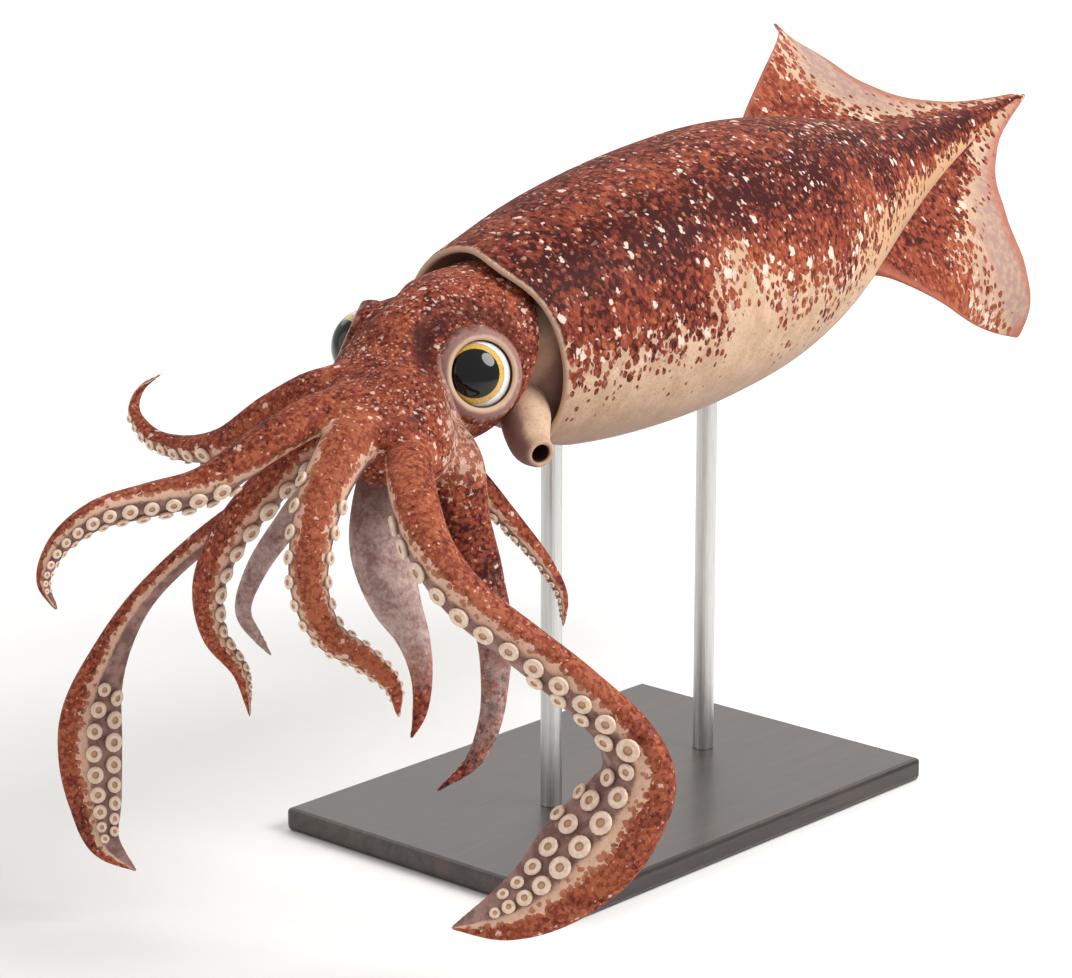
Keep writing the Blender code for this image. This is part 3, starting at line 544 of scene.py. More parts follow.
def mantle_axis(shares):
    """The mantle's middle line, bowed a little towards the belly."""
    shares = np.asarray(shares, float)[..., None]
    bow = BELLY_BOW * np.sin(math.pi * shares)
    return COLLAR + shares * MANTLE_LENGTH * TAILWARD - bow * BACKWARD


def body_spoke(turn):
    """Directions across the body: up at turn 0 and to the squid's left a quarter turn on."""
    return np.cos(turn)[:, None] * BACKWARD + np.sin(turn)[:, None] * LEFTWARD


def mantle_section():
    """The turned outline as rows of radius and height along the body, and the lip's row."""
    lip = mantle_radius(0.0)
    inside = [(0.0, POCKET_DEPTH), (0.040, POCKET_DEPTH), (POCKET_RADIUS - 0.006, POCKET_DEPTH),
              (POCKET_RADIUS, POCKET_DEPTH - 0.008), (POCKET_RADIUS, 0.030), (lip - COLLAR_WALL, 0.016),
              (lip - COLLAR_WALL, 0.008)]
    half_wall = COLLAR_WALL / 2
    bend = [(lip - half_wall - half_wall * math.cos(turn), half_wall - half_wall * math.sin(turn))
            for turn in np.linspace(0.0, math.pi, LIP_ROWS)]
    shares = np.concatenate([np.linspace(0.008, 0.10, 20), np.linspace(0.105, 0.90, 130),
                             np.linspace(0.905, 0.999, 36), [1.0]])
    outside = list(zip(mantle_radius(shares), shares * MANTLE_LENGTH))
    return np.array(inside + bend + outside), len(inside) + LIP_ROWS // 2


section, lip_row = mantle_section()
section_run = run_along(section)
from_lip = section_run - section_run[lip_row]
section_rows = len(section) - 1


def place_on_mantle(u, v):
    row = v * section_rows
    radius, height = read_rows(section, row, range(section_rows + 1)).T
    turn = 2 * math.pi * u
    from_lobe = (turn - LOBE_ROLL + math.pi) % (2 * math.pi) - math.pi
    reach = (LOBE_REACH * np.exp(-(from_lobe / LOBE_WIDTH) ** 2)
             - NOTCH_DEPTH * np.exp(-((turn - NOTCH_MIDDLE) / NOTCH_WIDTH) ** 4))
    fade = np.clip(1.0 - height / LIP_FADE, 0.0, 1.0)
    past_floor = np.interp(row, [0, 3, 5], [0.0, 0.0, 1.0])
    middle = mantle_axis(height / MANTLE_LENGTH) - (reach * fade * past_floor)[:, None] * TAILWARD
    return middle + radius[:, None] * body_spoke(turn)


def mantle_values(u, v):
    """Kept for the finish: up or down, distance from the lip, and nothing of a fin."""
    lip = np.interp(v * section_rows, range(section_rows + 1), from_lip)
    none = np.zeros(len(u))
    return {"back": np.cos(2 * math.pi * u), "lip": lip, "fin": none, "fore": none}


mantle_skin = rolled_grid("mantle_skin", MANTLE_AROUND, section_rows, place_on_mantle, mantle_values)
report(mantle_skin)

# %% [markdown]
# ## The fins
#
# Two rhomboid fins grow from the mantle's sides near the tail. Each one is a grid too, but
# rolled flat: once round goes from the leading edge over the top to the trailing edge and
# back underneath. The blade is thick and flared at its root, where it runs into the mantle,
# and thins to a soft margin. The near fin droops and the far one curls up.

# %% The fins' shape
TAIL_END = 0.985
FIN_FRONT = 0.555
FIN_SPAN = 0.160
FIN_WAVE_MIDDLE = 0.78
FIN_WAVE_LENGTH = 0.10
# The left and the right fin: roll, droop and wave in degrees, and how late the droop comes
LEFT_FIN_TURNS = (33, 35, -20, 1.75)
RIGHT_FIN_TURNS = (-33, -1, 24, 2.0)
# Where the edges lie: part of the way out, share along the mantle
LEFT_FIN_EDGE = [(0.0, FIN_FRONT), (0.25, 0.600), (0.53, 0.667), (0.81, 0.746), (1.0, 0.800)]
RIGHT_FIN_EDGE = [(0.0, FIN_FRONT), (0.25, 0.604), (0.53, 0.672), (0.81, 0.745), (1.0, 0.786)]
FIN_BACK_EDGE = [(0.0, TAIL_END), (0.06, 0.915), (0.15, 0.866), (0.40, 0.815), (0.70, 0.810),
                 (0.92, 0.810), (1.0, 0.803)]
FIN_SINK = 0.004
FIN_ROOT_THICKNESS = 0.008
FIN_FLARE = 0.010
FIN_FLARE_LENGTH = 0.07
FIN_EDGE_THICKNESS = 0.0016
FIN_TIP_CLOSING = 12
NUDGE = 0.001


def fin_middle(side, share, part):
    """Points of the fin's middle surface: share along the mantle, part of the way out."""
    *turns, bend = RIGHT_FIN_TURNS if side > 0 else LEFT_FIN_TURNS
    roll, droop, wave = (math.radians(turn) for turn in turns)
    behind = np.tanh((share - FIN_WAVE_MIDDLE) / FIN_WAVE_LENGTH)
    turn = roll + (droop + wave * behind) * np.maximum(part, 0.0) ** bend
    out = -side * np.cos(turn)[:, None] * LEFTWARD - np.sin(turn)[:, None] * BACKWARD
    return mantle_axis(share) + out * (mantle_radius(share) + FIN_SPAN * part)[:, None]


def fin_place(side):
    """A rule that lays a grid round one fin."""
    def middle(crossing, part):
        reached = np.clip(part, 0.0, 1.0)
        front = read_table(RIGHT_FIN_EDGE if side > 0 else LEFT_FIN_EDGE, reached)[:, 0]
        back = read_table(FIN_BACK_EDGE, reached)[:, 0]
        return fin_middle(side, front + (back - front) * crossing, part)

    def place(u, v):
        part = -FIN_SINK / FIN_SPAN + (1.0 + FIN_SINK / FIN_SPAN) * np.sin(math.pi / 2 * v)
        crossing = (1 - np.cos(2 * math.pi * u)) / 2
        across = middle(crossing + NUDGE, part) - middle(crossing - NUDGE, part)
        outward = middle(crossing, part + NUDGE) - middle(crossing, part - NUDGE)
        normal = unit(np.cross(across, outward))
        up_or_under = np.sin(2 * math.pi * u)
        rounded = np.sign(up_or_under) * np.abs(up_or_under) ** 0.5
        flare = FIN_FLARE * np.exp(-np.maximum(part, 0.0) / FIN_FLARE_LENGTH)
        taper = FIN_ROOT_THICKNESS * (1 - np.clip(part, 0, 1)) ** 1.5
        tip = np.sqrt(np.clip((1.0 - v) * FIN_TIP_CLOSING, 0.0, 1.0))
        half = rounded * (FIN_EDGE_THICKNESS + taper + flare) * tip / 2
        return middle(crossing, part) + normal * half[:, None]
    return place


def fin_values(u, v):
    """Kept for the finish: the part of the way out, and how far forward, 1 at the front edge."""
    return {"back": np.zeros(len(u)), "lip": np.ones(len(u)),
            "fin": np.clip(np.sin(math.pi / 2 * v), 0.001, 1.0), "fore": (1 + np.cos(2 * math.pi * u)) / 2}


fin_skins = [rolled_grid(name, 96, 60, fin_place(side), fin_values)
             for name, side in (("fin_left_skin", -1), ("fin_right_skin", 1))]
for fin_skin in fin_skins:
    report(fin_skin)

# %% [markdown]
# ## The finish of mantle and fins
#
# Cover is full on the back, breaks up low on the flank and is gone on the belly, where a
# darker mauve is painted on as shade. How low the rust hangs changes along the body in broad
# teeth, which come from noise that is stretched round the body. The collar's lip is a bare
# cream band, and the pocket behind it is painted mauve as shade. On a fin the rust spreads
# from the root and the leading edge and leaves a pale field behind, with a pink margin.

# %% The finish of mantle and fins
FULL_COVER = 1.08
RUST_LEVEL = 0.69
TEETH = 0.85
STREAK_PLACE = 0.199
STREAK_WIDTH = 0.015
TAN = (0.60, 0.34, 0.175, 1.0)
DASH = (0.42, 0.28, 0.24, 1.0)
BELLY_SHADE = (0.40, 0.265, 0.220, 1.0)
LIP_CREAM = (0.62, 0.420, 0.300, 1.0)
POCKET = (0.42, 0.235, 0.205, 1.0)
FIN_MIST = (0.37, 0.225, 0.205, 1.0)
FIN_CREAM = (0.46, 0.312, 0.232, 1.0)
FIN_MARGIN = (0.40, 0.130, 0.085, 1.0)


def mantle_cover(skin, back, lip, fin, fore, on_fin, teeth, streak):
    """How full the rust is: by height and teeth on the mantle, by the way out on a fin."""
    behind = lip.step(0.215, 0.245) * lip.step(0.46, 0.38)
    over_fin = lip.step(0.34, 0.46) * back.step(0.50, 0.0)
    cover = back * 1.05 + RUST_LEVEL + teeth * TEETH - streak * 0.50 + behind * 0.11 - over_fin * 0.26
    outward = fin * (0.56 + (1.0 - fore) * 1.25) + fore.step(0.62, 0.12) * 0.60
    fin_cover = (1.22 - outward + teeth * 0.9).least(FULL_COVER)
    return cover.least(FULL_COVER) * (1.0 - on_fin) + fin_cover * on_fin


def mantle_finish():
    skin = Finish("mantle_and_fin_skin", **SKIN_GLOSS)
    place = skin.stretched(skin.place(), BODY_PITCH, (1.0, 0.72, 0.72))
    back, lip, fin, fore = (skin.value(name) for name in ("back", "lip", "fin", "fore"))
    on_fin = fin.step(0.0, 0.0009)
    teeth = skin.noise(place, 21.0, 3.0, 0.5) - 0.5
    from_streak = (lip - STREAK_PLACE) * (1.0 / STREAK_WIDTH) + teeth * 2.0
    streak = 1.0 / (1.0 + from_streak * from_streak) * back.step(0.72, 0.35)
    off_fin = 1.0 - on_fin
    cover = mantle_cover(skin, back, lip, fin, fore, on_fin, teeth, streak)
    belt = back.step(0.25, 0.70) * (1.0 - 0.75 * back.step(0.80, 0.97))
    dusk = (belt * 0.62 + teeth * 1.9 - streak * 0.5 + 0.12).most(-0.25) * off_fin
    dusk = dusk + (0.52 * fin.step(0.45, 0.08) - 0.22) * on_fin
    amount = (0.95 - 0.50 * lip.step(0.42, 0.60)) * off_fin + (0.15 + fin * 1.1) * on_fin
    colour, pigment, fine = coloured_skin(skin, place, cover, dusk, amount)
    dashes_place = skin.stretched(skin.place(), BODY_PITCH, (0.50, 1.0, 1.0))
    dashes = flecks(skin, dashes_place, 190.0, 0.50, 0.32) * back.step(0.62, 0.90)
    colour = skin.mix(dashes * off_fin * 0.62, colour, DASH)
    bare_rear = (1.0 - pigment) * lip.step(0.30, 0.42) * back.step(-0.55, -0.10)
    colour = skin.mix(bare_rear * off_fin * 0.70, colour, TAN)
    mist = skin.noise(place, 170.0, 4.0, 0.65)
    field = (1.0 - pigment) * on_fin * (1.0 - cover.step(0.10, 0.75))
    colour = skin.mix(field * 0.90, colour, skin.mix(mist.step(0.42, 0.56), FIN_CREAM, FIN_MIST))
    # Painted shade: the underside is painted a darker mauve, for the shade that falls there.
    belly = (back + (fine - 0.5) * 0.4).step(-0.42, -0.90)
    colour = skin.mix(belly * off_fin * 0.72, colour, BELLY_SHADE)
    rim = fore.step(0.16, 0.01).most(fin.step(0.86, 0.98)).most(fore.step(0.945, 0.995)) * on_fin
    margin = (rim + (mist - 0.5) * 0.5) * on_fin * rim.step(0.0, 0.05)
    colour = skin.mix(margin * 0.85, colour, FIN_MARGIN)
    band = (lip + (fine - 0.5) * 0.006).step(0.0046, 0.0018)
    colour = skin.mix(band * off_fin * 0.90, colour, LIP_CREAM)
    # Painted shade: the pocket inside the collar is painted mauve, for the shade in it.
    colour = skin.mix(lip.step(-0.001, -0.012) * off_fin, colour, POCKET)
    finish_skin(skin, place, colour, pigment, fine)
    return skin.material


body_skin = joined("body_skin", [mantle_skin, *fin_skins])
body_skin.data.materials.append(mantle_finish())
report(body_skin)

# %% [markdown]
# ## Arms and tentacles
#
# Each limb follows a route that was read off the picture: across, down, and how much nearer
# than the collar. It has a half width and a half thickness along its length, and a direction
# that its suckers face, which turns slowly from root to tip. The section is rounder on the
# outside and flatter on the suckers' side, with a low fold along both edges, as the
# membranes beside the suckers make on the real arm.

# %% Routes and sizes of the limbs
ROUTES = {
    "arm_1_right": [(372, 375, 0.120), (325, 386, 0.130), (275, 412, 0.115), (226, 445, 0.080),
                    (184, 450, 0.045), (151, 438, 0.020), (133, 411, 0.005), (140, 389, 0.000),
                    (161, 374, 0.000)],
    "arm_1_left": [(378, 398, 0.140), (328, 412, 0.170), (272, 443, 0.200), (204, 488, 0.215),
                   (150, 502, 0.220), (96, 517, 0.230), (58, 547, 0.235), (44, 582, 0.235), (57, 610, 0.230)],
    "arm_2_right": [(368, 420, 0.100), (322, 440, 0.118), (268, 492, 0.128), (230, 540, 0.125),
                    (211, 588, 0.118), (216, 634, 0.112), (242, 672, 0.110), (250, 716, 0.110)],
    "arm_3_right": [(378, 445, 0.050), (335, 466, 0.035), (294, 515, 0.022), (256, 570, 0.018),
                    (243, 612, 0.018), (258, 638, 0.020), (272, 656, 0.022)],
    "arm_2_left": [(395, 415, 0.145), (358, 434, 0.186), (324, 490, 0.226), (310, 550, 0.243),
                   (310, 592, 0.245), (328, 634, 0.240), (366, 660, 0.235), (393, 686, 0.230),
                   (399, 716, 0.225)],
    "arm_3_left": [(405, 440, 0.125), (386, 470, 0.140), (378, 535, 0.155), (394, 597, 0.160),
                   (414, 640, 0.165), (422, 680, 0.165), (419, 716, 0.165), (411, 738, 0.165)],
    "arm_4_left": [(432, 430, 0.110), (454, 462, 0.118), (461, 520, 0.125), (479, 580, 0.125),
                   (494, 630, 0.125), (495, 680, 0.120), (490, 722, 0.120), (474, 760, 0.120),
                   (437, 791, 0.120)],
    "arm_4_right": [(425, 440, 0.060), (462, 470, 0.050), (508, 520, 0.035), (546, 566, 0.020),
                    (562, 596, 0.015), (563, 627, 0.015)],
    "tentacle_right": [(385, 440, 0.090), (330, 455, 0.080), (262, 500, 0.070), (196, 548, 0.060),
                       (140, 604, 0.050), (106, 664, 0.045), (92, 710, 0.045), (90, 755, 0.045),
                       (95, 800, 0.045), (104, 842, 0.045), (136, 871, 0.045)],
    "tentacle_left": [(415, 425, 0.140), (408, 455, 0.176), (412, 505, 0.236), (432, 560, 0.270),
                      (468, 605, 0.275), (520, 645, 0.275), (580, 692, 0.275), (626, 738, 0.270),
                      (638, 778, 0.265), (615, 823, 0.265), (583, 858, 0.265), (546, 892, 0.265),
                      (506, 914, 0.265), (452, 928, 0.265)],
}
# Where the suckers face along a limb: share of its length, then across, up and near in the view
ORAL_SIDES = {
    "arm_1_right": [(0.0, (0.1, -0.95, 0.0)), (0.6, (-0.3, -0.9, 0.15)), (1.0, (-0.8, -0.3, 0.1))],
    "arm_1_left": [(0.0, (0.2, -0.95, 0.0)), (0.35, (0.2, -0.95, 0.05)), (0.55, (0.3, -0.85, 0.30)),
                   (1.0, (0.75, -0.1, 0.30))],
    "arm_2_right": [(0.0, (0.8, -0.5, 0.0)), (0.5, (0.95, -0.2, 0.08)), (1.0, (0.9, 0.3, 0.0))],
    "arm_3_right": [(0.0, (0.3, -0.2, -0.9)), (1.0, (-0.1, 0.3, -0.95))],
    "arm_2_left": [(0.0, (-0.1, -0.3, -1.0)), (1.0, (-0.1, 0.0, -1.0))],
    "arm_3_left": [(0.0, (-0.1, 0.0, -1.0)), (1.0, (-0.1, 0.0, -1.0))],
    "arm_4_left": [(0.0, (-0.4, 0.0, -0.9)), (0.4, (-0.1, 0.0, -1.0)), (1.0, (-0.1, 0.1, -1.0))],
    "arm_4_right": [(0.0, (-0.8, -0.5, 0.1)), (1.0, (-1.0, 0.0, 0.35))],
    "tentacle_right": [(0.0, (0.5, -0.8, 0.1)), (0.25, (0.68, -0.56, 0.25)), (0.5, (0.75, -0.45, 0.42)),
                       (0.64, (0.65, -0.15, 0.75)), (0.75, (0.42, 0.0, 0.91)), (1.0, (0.4, 0.1, 0.9))],
    "tentacle_left": [(0.0, (-0.9, -0.4, 0.0)), (0.28, (-0.70, -0.66, 0.26)), (0.46, (-0.55, -0.58, 0.60)),
                      (0.60, (-0.66, -0.25, 0.72)), (0.72, (-0.46, 0.32, 0.82)), (0.85, (-0.34, 0.36, 0.88)),
                      (1.0, (-0.2, 0.4, 0.9))],
}
# How the other arms taper: share of the length, then parts of the half width at the root
ARM_TAPER = [(0.0, 1.0, 0.95), (0.25, 0.88, 0.82), (0.5, 0.70, 0.64), (0.75, 0.50, 0.45),
             (0.92, 0.30, 0.27), (1.0, 0.10, 0.09)]
ARM_HALF_WIDTHS = {"arm_1_right": 0.0165, "arm_1_left": 0.0205, "arm_2_right": 0.0195,
                   "arm_3_right": 0.0150, "arm_2_left": 0.0228, "arm_3_left": 0.0165,
                   "arm_4_left": 0.0205, "arm_4_right": 0.0150}
# Limbs that don't taper like the others: share of the length, half width, half thickness
LIMB_SIZES = {
    "arm_1_right": [(0.0, 0.0165, 0.0157), (0.25, 0.0168, 0.0158), (0.50, 0.0150, 0.0140),
                    (0.72, 0.0108, 0.0100), (0.90, 0.0052, 0.0048), (1.0, 0.0012, 0.0012)],
    "arm_1_left": [(0.0, 0.0205, 0.0195), (0.25, 0.0192, 0.0178), (0.50, 0.0172, 0.0160),
                   (0.70, 0.0142, 0.0130), (0.85, 0.0098, 0.0088), (0.94, 0.0058, 0.0052),
                   (1.0, 0.0018, 0.0018)],
    "arm_2_right": [(0.0, 0.0195, 0.0185), (0.25, 0.0198, 0.0180), (0.45, 0.0190, 0.0172),
                    (0.62, 0.0165, 0.0150), (0.78, 0.0120, 0.0108), (0.90, 0.0075, 0.0068),
                    (1.0, 0.0015, 0.0015)],
    "tentacle_right": [(0.0, 0.0150, 0.0140), (0.30, 0.0118, 0.0110), (0.48, 0.0112, 0.0105),
                       (0.60, 0.0165, 0.0125), (0.74, 0.0262, 0.0150), (0.86, 0.0215, 0.0130),
                       (0.95, 0.0100, 0.0075), (1.0, 0.0015, 0.0015)],
    "tentacle_left": [(0.0, 0.0205, 0.0195), (0.25, 0.0222, 0.0205), (0.50, 0.0200, 0.0180),
                      (0.62, 0.0225, 0.0180), (0.72, 0.0360, 0.0200), (0.80, 0.0400, 0.0200),
                      (0.88, 0.0300, 0.0165), (0.95, 0.0165, 0.0110), (1.0, 0.0020, 0.0020)],
    "arm_3_left": [(0.0, 0.0165, 0.0150), (0.25, 0.0205, 0.0155), (0.42, 0.0228, 0.0155),
                   (0.53, 0.0205, 0.0145), (0.68, 0.0130, 0.0110), (0.81, 0.0084, 0.0076),
                   (0.93, 0.0054, 0.0050), (1.0, 0.0015, 0.0015)],
    "arm_4_left": [(0.0, 0.0215, 0.0200), (0.18, 0.0228, 0.0205), (0.35, 0.0215, 0.0190),
                   (0.50, 0.0162, 0.0145), (0.68, 0.0108, 0.0100), (0.85, 0.0078, 0.0070),
                   (1.0, 0.0015, 0.0015)],
}
# The shares between which an inner arm is grey on all sides, and how strongly; the grey is partly their paler
# skin and partly painted shade, for the inner arms lie in shade
GREYED = {"arm_3_left": (0.10, 0.60, 1.0), "arm_3_right": (0.10, 1.30, 1.0),
          "arm_4_left": (0.66, 0.74, 0.52)}
GREY_FADE = 0.34
# Where the pale face of a limb is turned sideways or widened: share, turn in degrees, widening
NO_TURN = [(0.0, 0.0, 0.0), (1.0, 0.0, 0.0)]
FACE_TURNS = {
    "tentacle_left": [(0.0, 14.0, -0.10), (0.52, 14.0, -0.10), (0.68, 40.0, 0.0), (1.0, 40.0, 0.0)],
    "tentacle_right": [(0.0, 0.0, -0.15), (0.52, 0.0, -0.10), (0.66, -36.0, 0.0), (1.0, -36.0, 0.0)],
    "arm_2_left": [(0.0, 0.0, 0.50), (0.30, 0.0, 0.84), (0.85, 0.0, 0.80), (1.0, 0.0, 0.56)],
    "arm_1_right": [(0.0, 0.0, -0.80), (0.40, 0.0, -0.55), (0.52, 0.0, -0.25), (1.0, 0.0, -0.25)],
    "arm_1_left": [(0.0, 0.0, -0.55), (0.36, 0.0, -0.45), (0.48, 0.0, -0.05), (1.0, 0.0, 0.0)],
}
# How dusky the rust of each limb is, below 0 for the more orange ones; arm_4_left's is darker partly as
# painted shade, for it lies in shade
HEAD_DUSK = -0.14
LIMB_DUSK = {"arm_1_right": -0.28, "arm_1_left": -0.30, "arm_2_right": -0.28, "arm_3_right": -0.10,
             "arm_2_left": -0.58, "arm_3_left": -0.30, "arm_4_left": 0.10, "arm_4_right": -0.10,
             "tentacle_right": -0.24, "tentacle_left": -0.38}
ORAL_FLATNESS = 0.72
EDGE_FOLD = 0.07
EDGE_FOLD_TURN = math.radians(24)
EDGE_FOLD_WIDTH = math.radians(13)


class Limb:
    """The middle line, directions and half sizes of one arm or tentacle."""

    def __init__(self, name):
        self.name = name
        route = [from_picture(*point) for point in ROUTES[name]]
        self.points, self.length = spaced_evenly(catmull_rom(route), ROUTE_SAMPLES)
        self.tangents = unit(np.gradient(self.points, axis=0))
        self.sizes = LIMB_SIZES.get(name)
        if self.sizes is None:
            root = ARM_HALF_WIDTHS[name]
            self.sizes = [(share, wide * root, thick * root) for share, wide, thick in ARM_TAPER]
        self.sides = np.array([(share, *view_vector(*side)) for share, side in ORAL_SIDES[name]])

    def half_sizes(self, shares):
        sizes = read_table(self.sizes, shares)
        return sizes[..., 0], sizes[..., 1]

    def frames(self, shares):
        """Middle points, directions onward, the suckers' side and sideways, one row per share."""
        shares = np.atleast_1d(shares)
        onward = unit(read_rows(self.tangents, shares))
        hint = read_rows(self.sides[:, 1:], shares, self.sides[:, 0])
        oral = unit(hint - (hint * onward).sum(1, keepdims=True) * onward)
        return read_rows(self.points, shares), onward, oral, np.cross(onward, oral)

    def surface(self, turns, shares):
        """Points on the limb's skin: the turn is 0 sideways and a quarter turn at the suckers."""
        middle, _, oral, sideways = self.frames(shares)
        half_width, half_thickness = self.half_sizes(shares)
        depth = half_thickness * np.sin(turns)
        depth = np.where(depth > 0, depth * ORAL_FLATNESS, depth)
        edge = np.abs((turns + math.pi) % (2 * math.pi) - math.pi)
        edge = np.minimum(edge, math.pi - edge)
        ridge = np.exp(-((edge - EDGE_FOLD_TURN) / EDGE_FOLD_WIDTH) ** 2)
        fold = 1 + EDGE_FOLD * ridge * (np.sin(turns) > 0)
        beside = half_width * np.cos(turns) * fold
        return middle + sideways * beside[:, None] + oral * (depth * fold)[:, None]


limbs = [Limb(name) for name in ROUTES]
for limb in limbs:
    print(limb.name, "is", round(limb.length, 3), "m long")

# %% [markdown]
# ## The head
#
# The head is a dome that narrows to a neck inside the collar and ends in the crown, where all
# ten limbs grow. Behind the eyes its skin makes a raised cheek with a clear edge, and beyond
# that edge the neck is bare and sandy. The eyes bulge, so a ball round each one is fused to
# the head before the skin is drawn over everything.

# %% The head's shape
EYE_MIDDLE = COLLAR + np.array([-0.0832, -0.008, 0.0068])
EYE_SPACING = 0.0966
EYE_RADIUS = 0.031
ORBIT_RADIUS = 0.0365
HEAD_LATERAL = np.array([0.14, -0.985, -0.10])
EYE_FACING = np.array([-0.338, -0.909, 0.2305])
# Sections from neck to crown: middle from the collar's, half width, half height
HEAD_SECTIONS = [((0.034, 0.0, 0.013), 0.050, 0.048), ((0.012, 0.0, 0.010), 0.060, 0.058),
                 ((-0.015, -0.002, 0.008), 0.065, 0.064), ((-0.050, -0.004, 0.004), 0.063, 0.066),
                 ((-0.085, -0.007, -0.006), 0.056, 0.064), ((-0.115, -0.013, -0.020), 0.056, 0.060),
                 ((-0.140, -0.020, -0.036), 0.055, 0.056), ((-0.158, -0.028, -0.052), 0.040, 0.040)]
# The neck inside the collar: distance along the body, radius
NECK = [(-0.014, 0.048), (-0.007, 0.0560), (0.0, 0.0625), (0.008, 0.0692), (0.016, 0.0742),
        (0.024, 0.0764), (0.040, 0.0764), (0.047, 0.058)]
NECK_HOLLOW = 0.17
NECK_HOLLOW_EDGE = (0.30, 0.85)
CHEEK_LINE = -0.0165
CHEEK_SLOPE = 0.035
CHEEK_HALF_HEIGHT = 0.064
CHEEK_RAISE = 0.05
CHEEK_CREST = 0.010
CHEEK_WIDTH = 0.012
CHEEK_DROP = 0.005
NECK_SHRINK = 0.16
# The grid's ends that close a form, and the part between them that shapes it
END = 0.02
BETWEEN_ENDS = 0.96
HEAD_AROUND, HEAD_ROWS, NECK_ROWS = 72, 110, 40


def eye_places():
    """Each eye's middle and the direction it faces."""
    lateral, facing = unit(HEAD_LATERAL), unit(EYE_FACING)
    mirrored = unit(facing - 2 * (facing @ lateral) * lateral)
    return {"eye_left": (EYE_MIDDLE + EYE_SPACING / 2 * lateral, facing),
            "eye_right": (EYE_MIDDLE - EYE_SPACING / 2 * lateral, mirrored)}


head_line = catmull_rom([COLLAR + np.array(offset) for offset, _, _ in HEAD_SECTIONS], per_span=12)
head_stations = np.linspace(0.0, 1.0, len(HEAD_SECTIONS))
head_sizes = [(station, wide, high) for station, (_, wide, high) in zip(head_stations, HEAD_SECTIONS)]


def behind_cheek(points):
    """How far each point lies behind the cheek's edge, along the body."""
    offset = points - COLLAR
    upward = offset @ BACKWARD / CHEEK_HALF_HEIGHT
    return offset @ TAILWARD - (CHEEK_LINE + CHEEK_SLOPE * np.clip(upward, -1.0, 1.0))


def along_line(line, shares):
    """Points on a middle line, with the directions onward, to the head's side and upward."""
    onward = unit(read_rows(unit(np.gradient(line, axis=0)), shares))
    lateral = unit(HEAD_LATERAL - (onward @ HEAD_LATERAL)[:, None] * onward)
    return read_rows(line, shares), onward, lateral, np.cross(onward, lateral)


def place_on_head(u, v):
    """The dome of the head: swollen at the cheek, and thinner behind its edge."""
    share = np.clip((v - END) / BETWEEN_ENDS, 0.0, 1.0)
    middle, _, lateral, upward = along_line(head_line, share)
    half_width, half_height = read_table(head_sizes, share).T
    turn = 2 * math.pi * u
    spoke = (lateral * (half_width * np.cos(turn))[:, None]
             + upward * (half_height * np.sin(turn))[:, None])
    behind = behind_cheek(middle + spoke)
    raised = np.where(behind < 0, np.exp(-((behind + CHEEK_CREST) / CHEEK_WIDTH) ** 2),
                      math.exp(-(CHEEK_CREST / CHEEK_WIDTH) ** 2))
    shape = 1 + CHEEK_RAISE * raised - NECK_SHRINK * eased(0.0, CHEEK_DROP, behind)
    closing = (v >= END) & (v <= 1 - END)
    return middle + spoke * (shape * closing)[:, None]


def place_on_neck(u, v):
    """A collar of muscle that fills the mantle's opening at the sides and below."""
    share = np.clip((v - END) / BETWEEN_ENDS, 0.0, 1.0)
    along, radius = read_rows(NECK, share).T
    turn = 2 * math.pi * u
    hollow = 1 - NECK_HOLLOW * eased(*NECK_HOLLOW_EDGE, np.cos(turn))
    radius = radius * hollow * ((v > END) & (v < 1 - END))
    return mantle_axis(along / MANTLE_LENGTH) + radius[:, None] * body_spoke(turn)


head_form = joined("head_form", [rolled_grid("head_form", HEAD_AROUND, HEAD_ROWS, place_on_head),
                                 rolled_grid("neck_form", HEAD_AROUND, NECK_ROWS, place_on_neck)])
report(head_form)

# %% [markdown]
# ## One skin over head and limbs
#
# Tubes pushed into a ball show hard creases where they meet. Blender's voxel remesh wraps one
# new surface round all of them at once, and only keeps a little of each crease. The new
# surface is then relaxed where two limbs run together, which makes the soft webs between
# the arms, and drawn back onto the exact shapes everywhere else, so tips stay slim.

# %% Forms under the skin
VOXEL = 0.00245
LIMB_AROUND = 28
LIMB_ROW = 0.003
# Along a limb's grid: where the closed root ends and the tip starts, and the part between
ROOT_END, TIP_END = 0.004, 0.995
LIMB_START, LIMB_PART = 0.005, 0.985
# Balls that fill the crown between the roots of the arms: pixel across and down, metres
# nearer than the collar, radius
CROWN_BALLS = [(396, 418, 0.140, 0.042), (378, 432, 0.156, 0.038), (404, 440, 0.142, 0.040)]


def place_on_limb(limb):
    """A rule that rolls a grid round one limb, with a rounded tip and a closed root."""
    def place(u, v):
        shares = np.clip((v - LIMB_START) / LIMB_PART, 0.0, 1.0)
        points = limb.surface(2 * math.pi * u, shares)
        middle, onward, _, _ = limb.frames(shares)
        shaped = ((v >= ROOT_END) & (v <= TIP_END))[:, None]
        nose = np.where(v > TIP_END, limb.half_sizes(1.0)[0], 0.0)[:, None]
        return middle + (points - middle) * shaped + onward * nose
    return place


limb_forms = [rolled_grid(f"{limb.name}_form", LIMB_AROUND, int(limb.length / LIMB_ROW),
                          place_on_limb(limb)) for limb in limbs]
balls = [(middle, ORBIT_RADIUS) for middle, _ in eye_places().values()]
balls += [(from_picture(x, y, near), radius) for x, y, near, radius in CROWN_BALLS]
ball_forms = []
for middle, radius in balls:
    deselect_all()
    bpy.ops.mesh.primitive_uv_sphere_add(segments=48, ring_count=32, radius=radius, location=middle)
    bpy.ops.object.transform_apply(location=True, rotation=True, scale=True)
    ball_forms.append(bpy.context.object)

# %% Draw one skin over them


def tree_of(piece):
    """A search tree that answers which point of the piece is nearest."""
    piece.data.calc_loop_triangles()
    corners = [vertex.co.copy() for vertex in piece.data.vertices]
    return BVHTree.FromPolygons(corners, [tuple(t.vertices) for t in piece.data.loop_triangles])


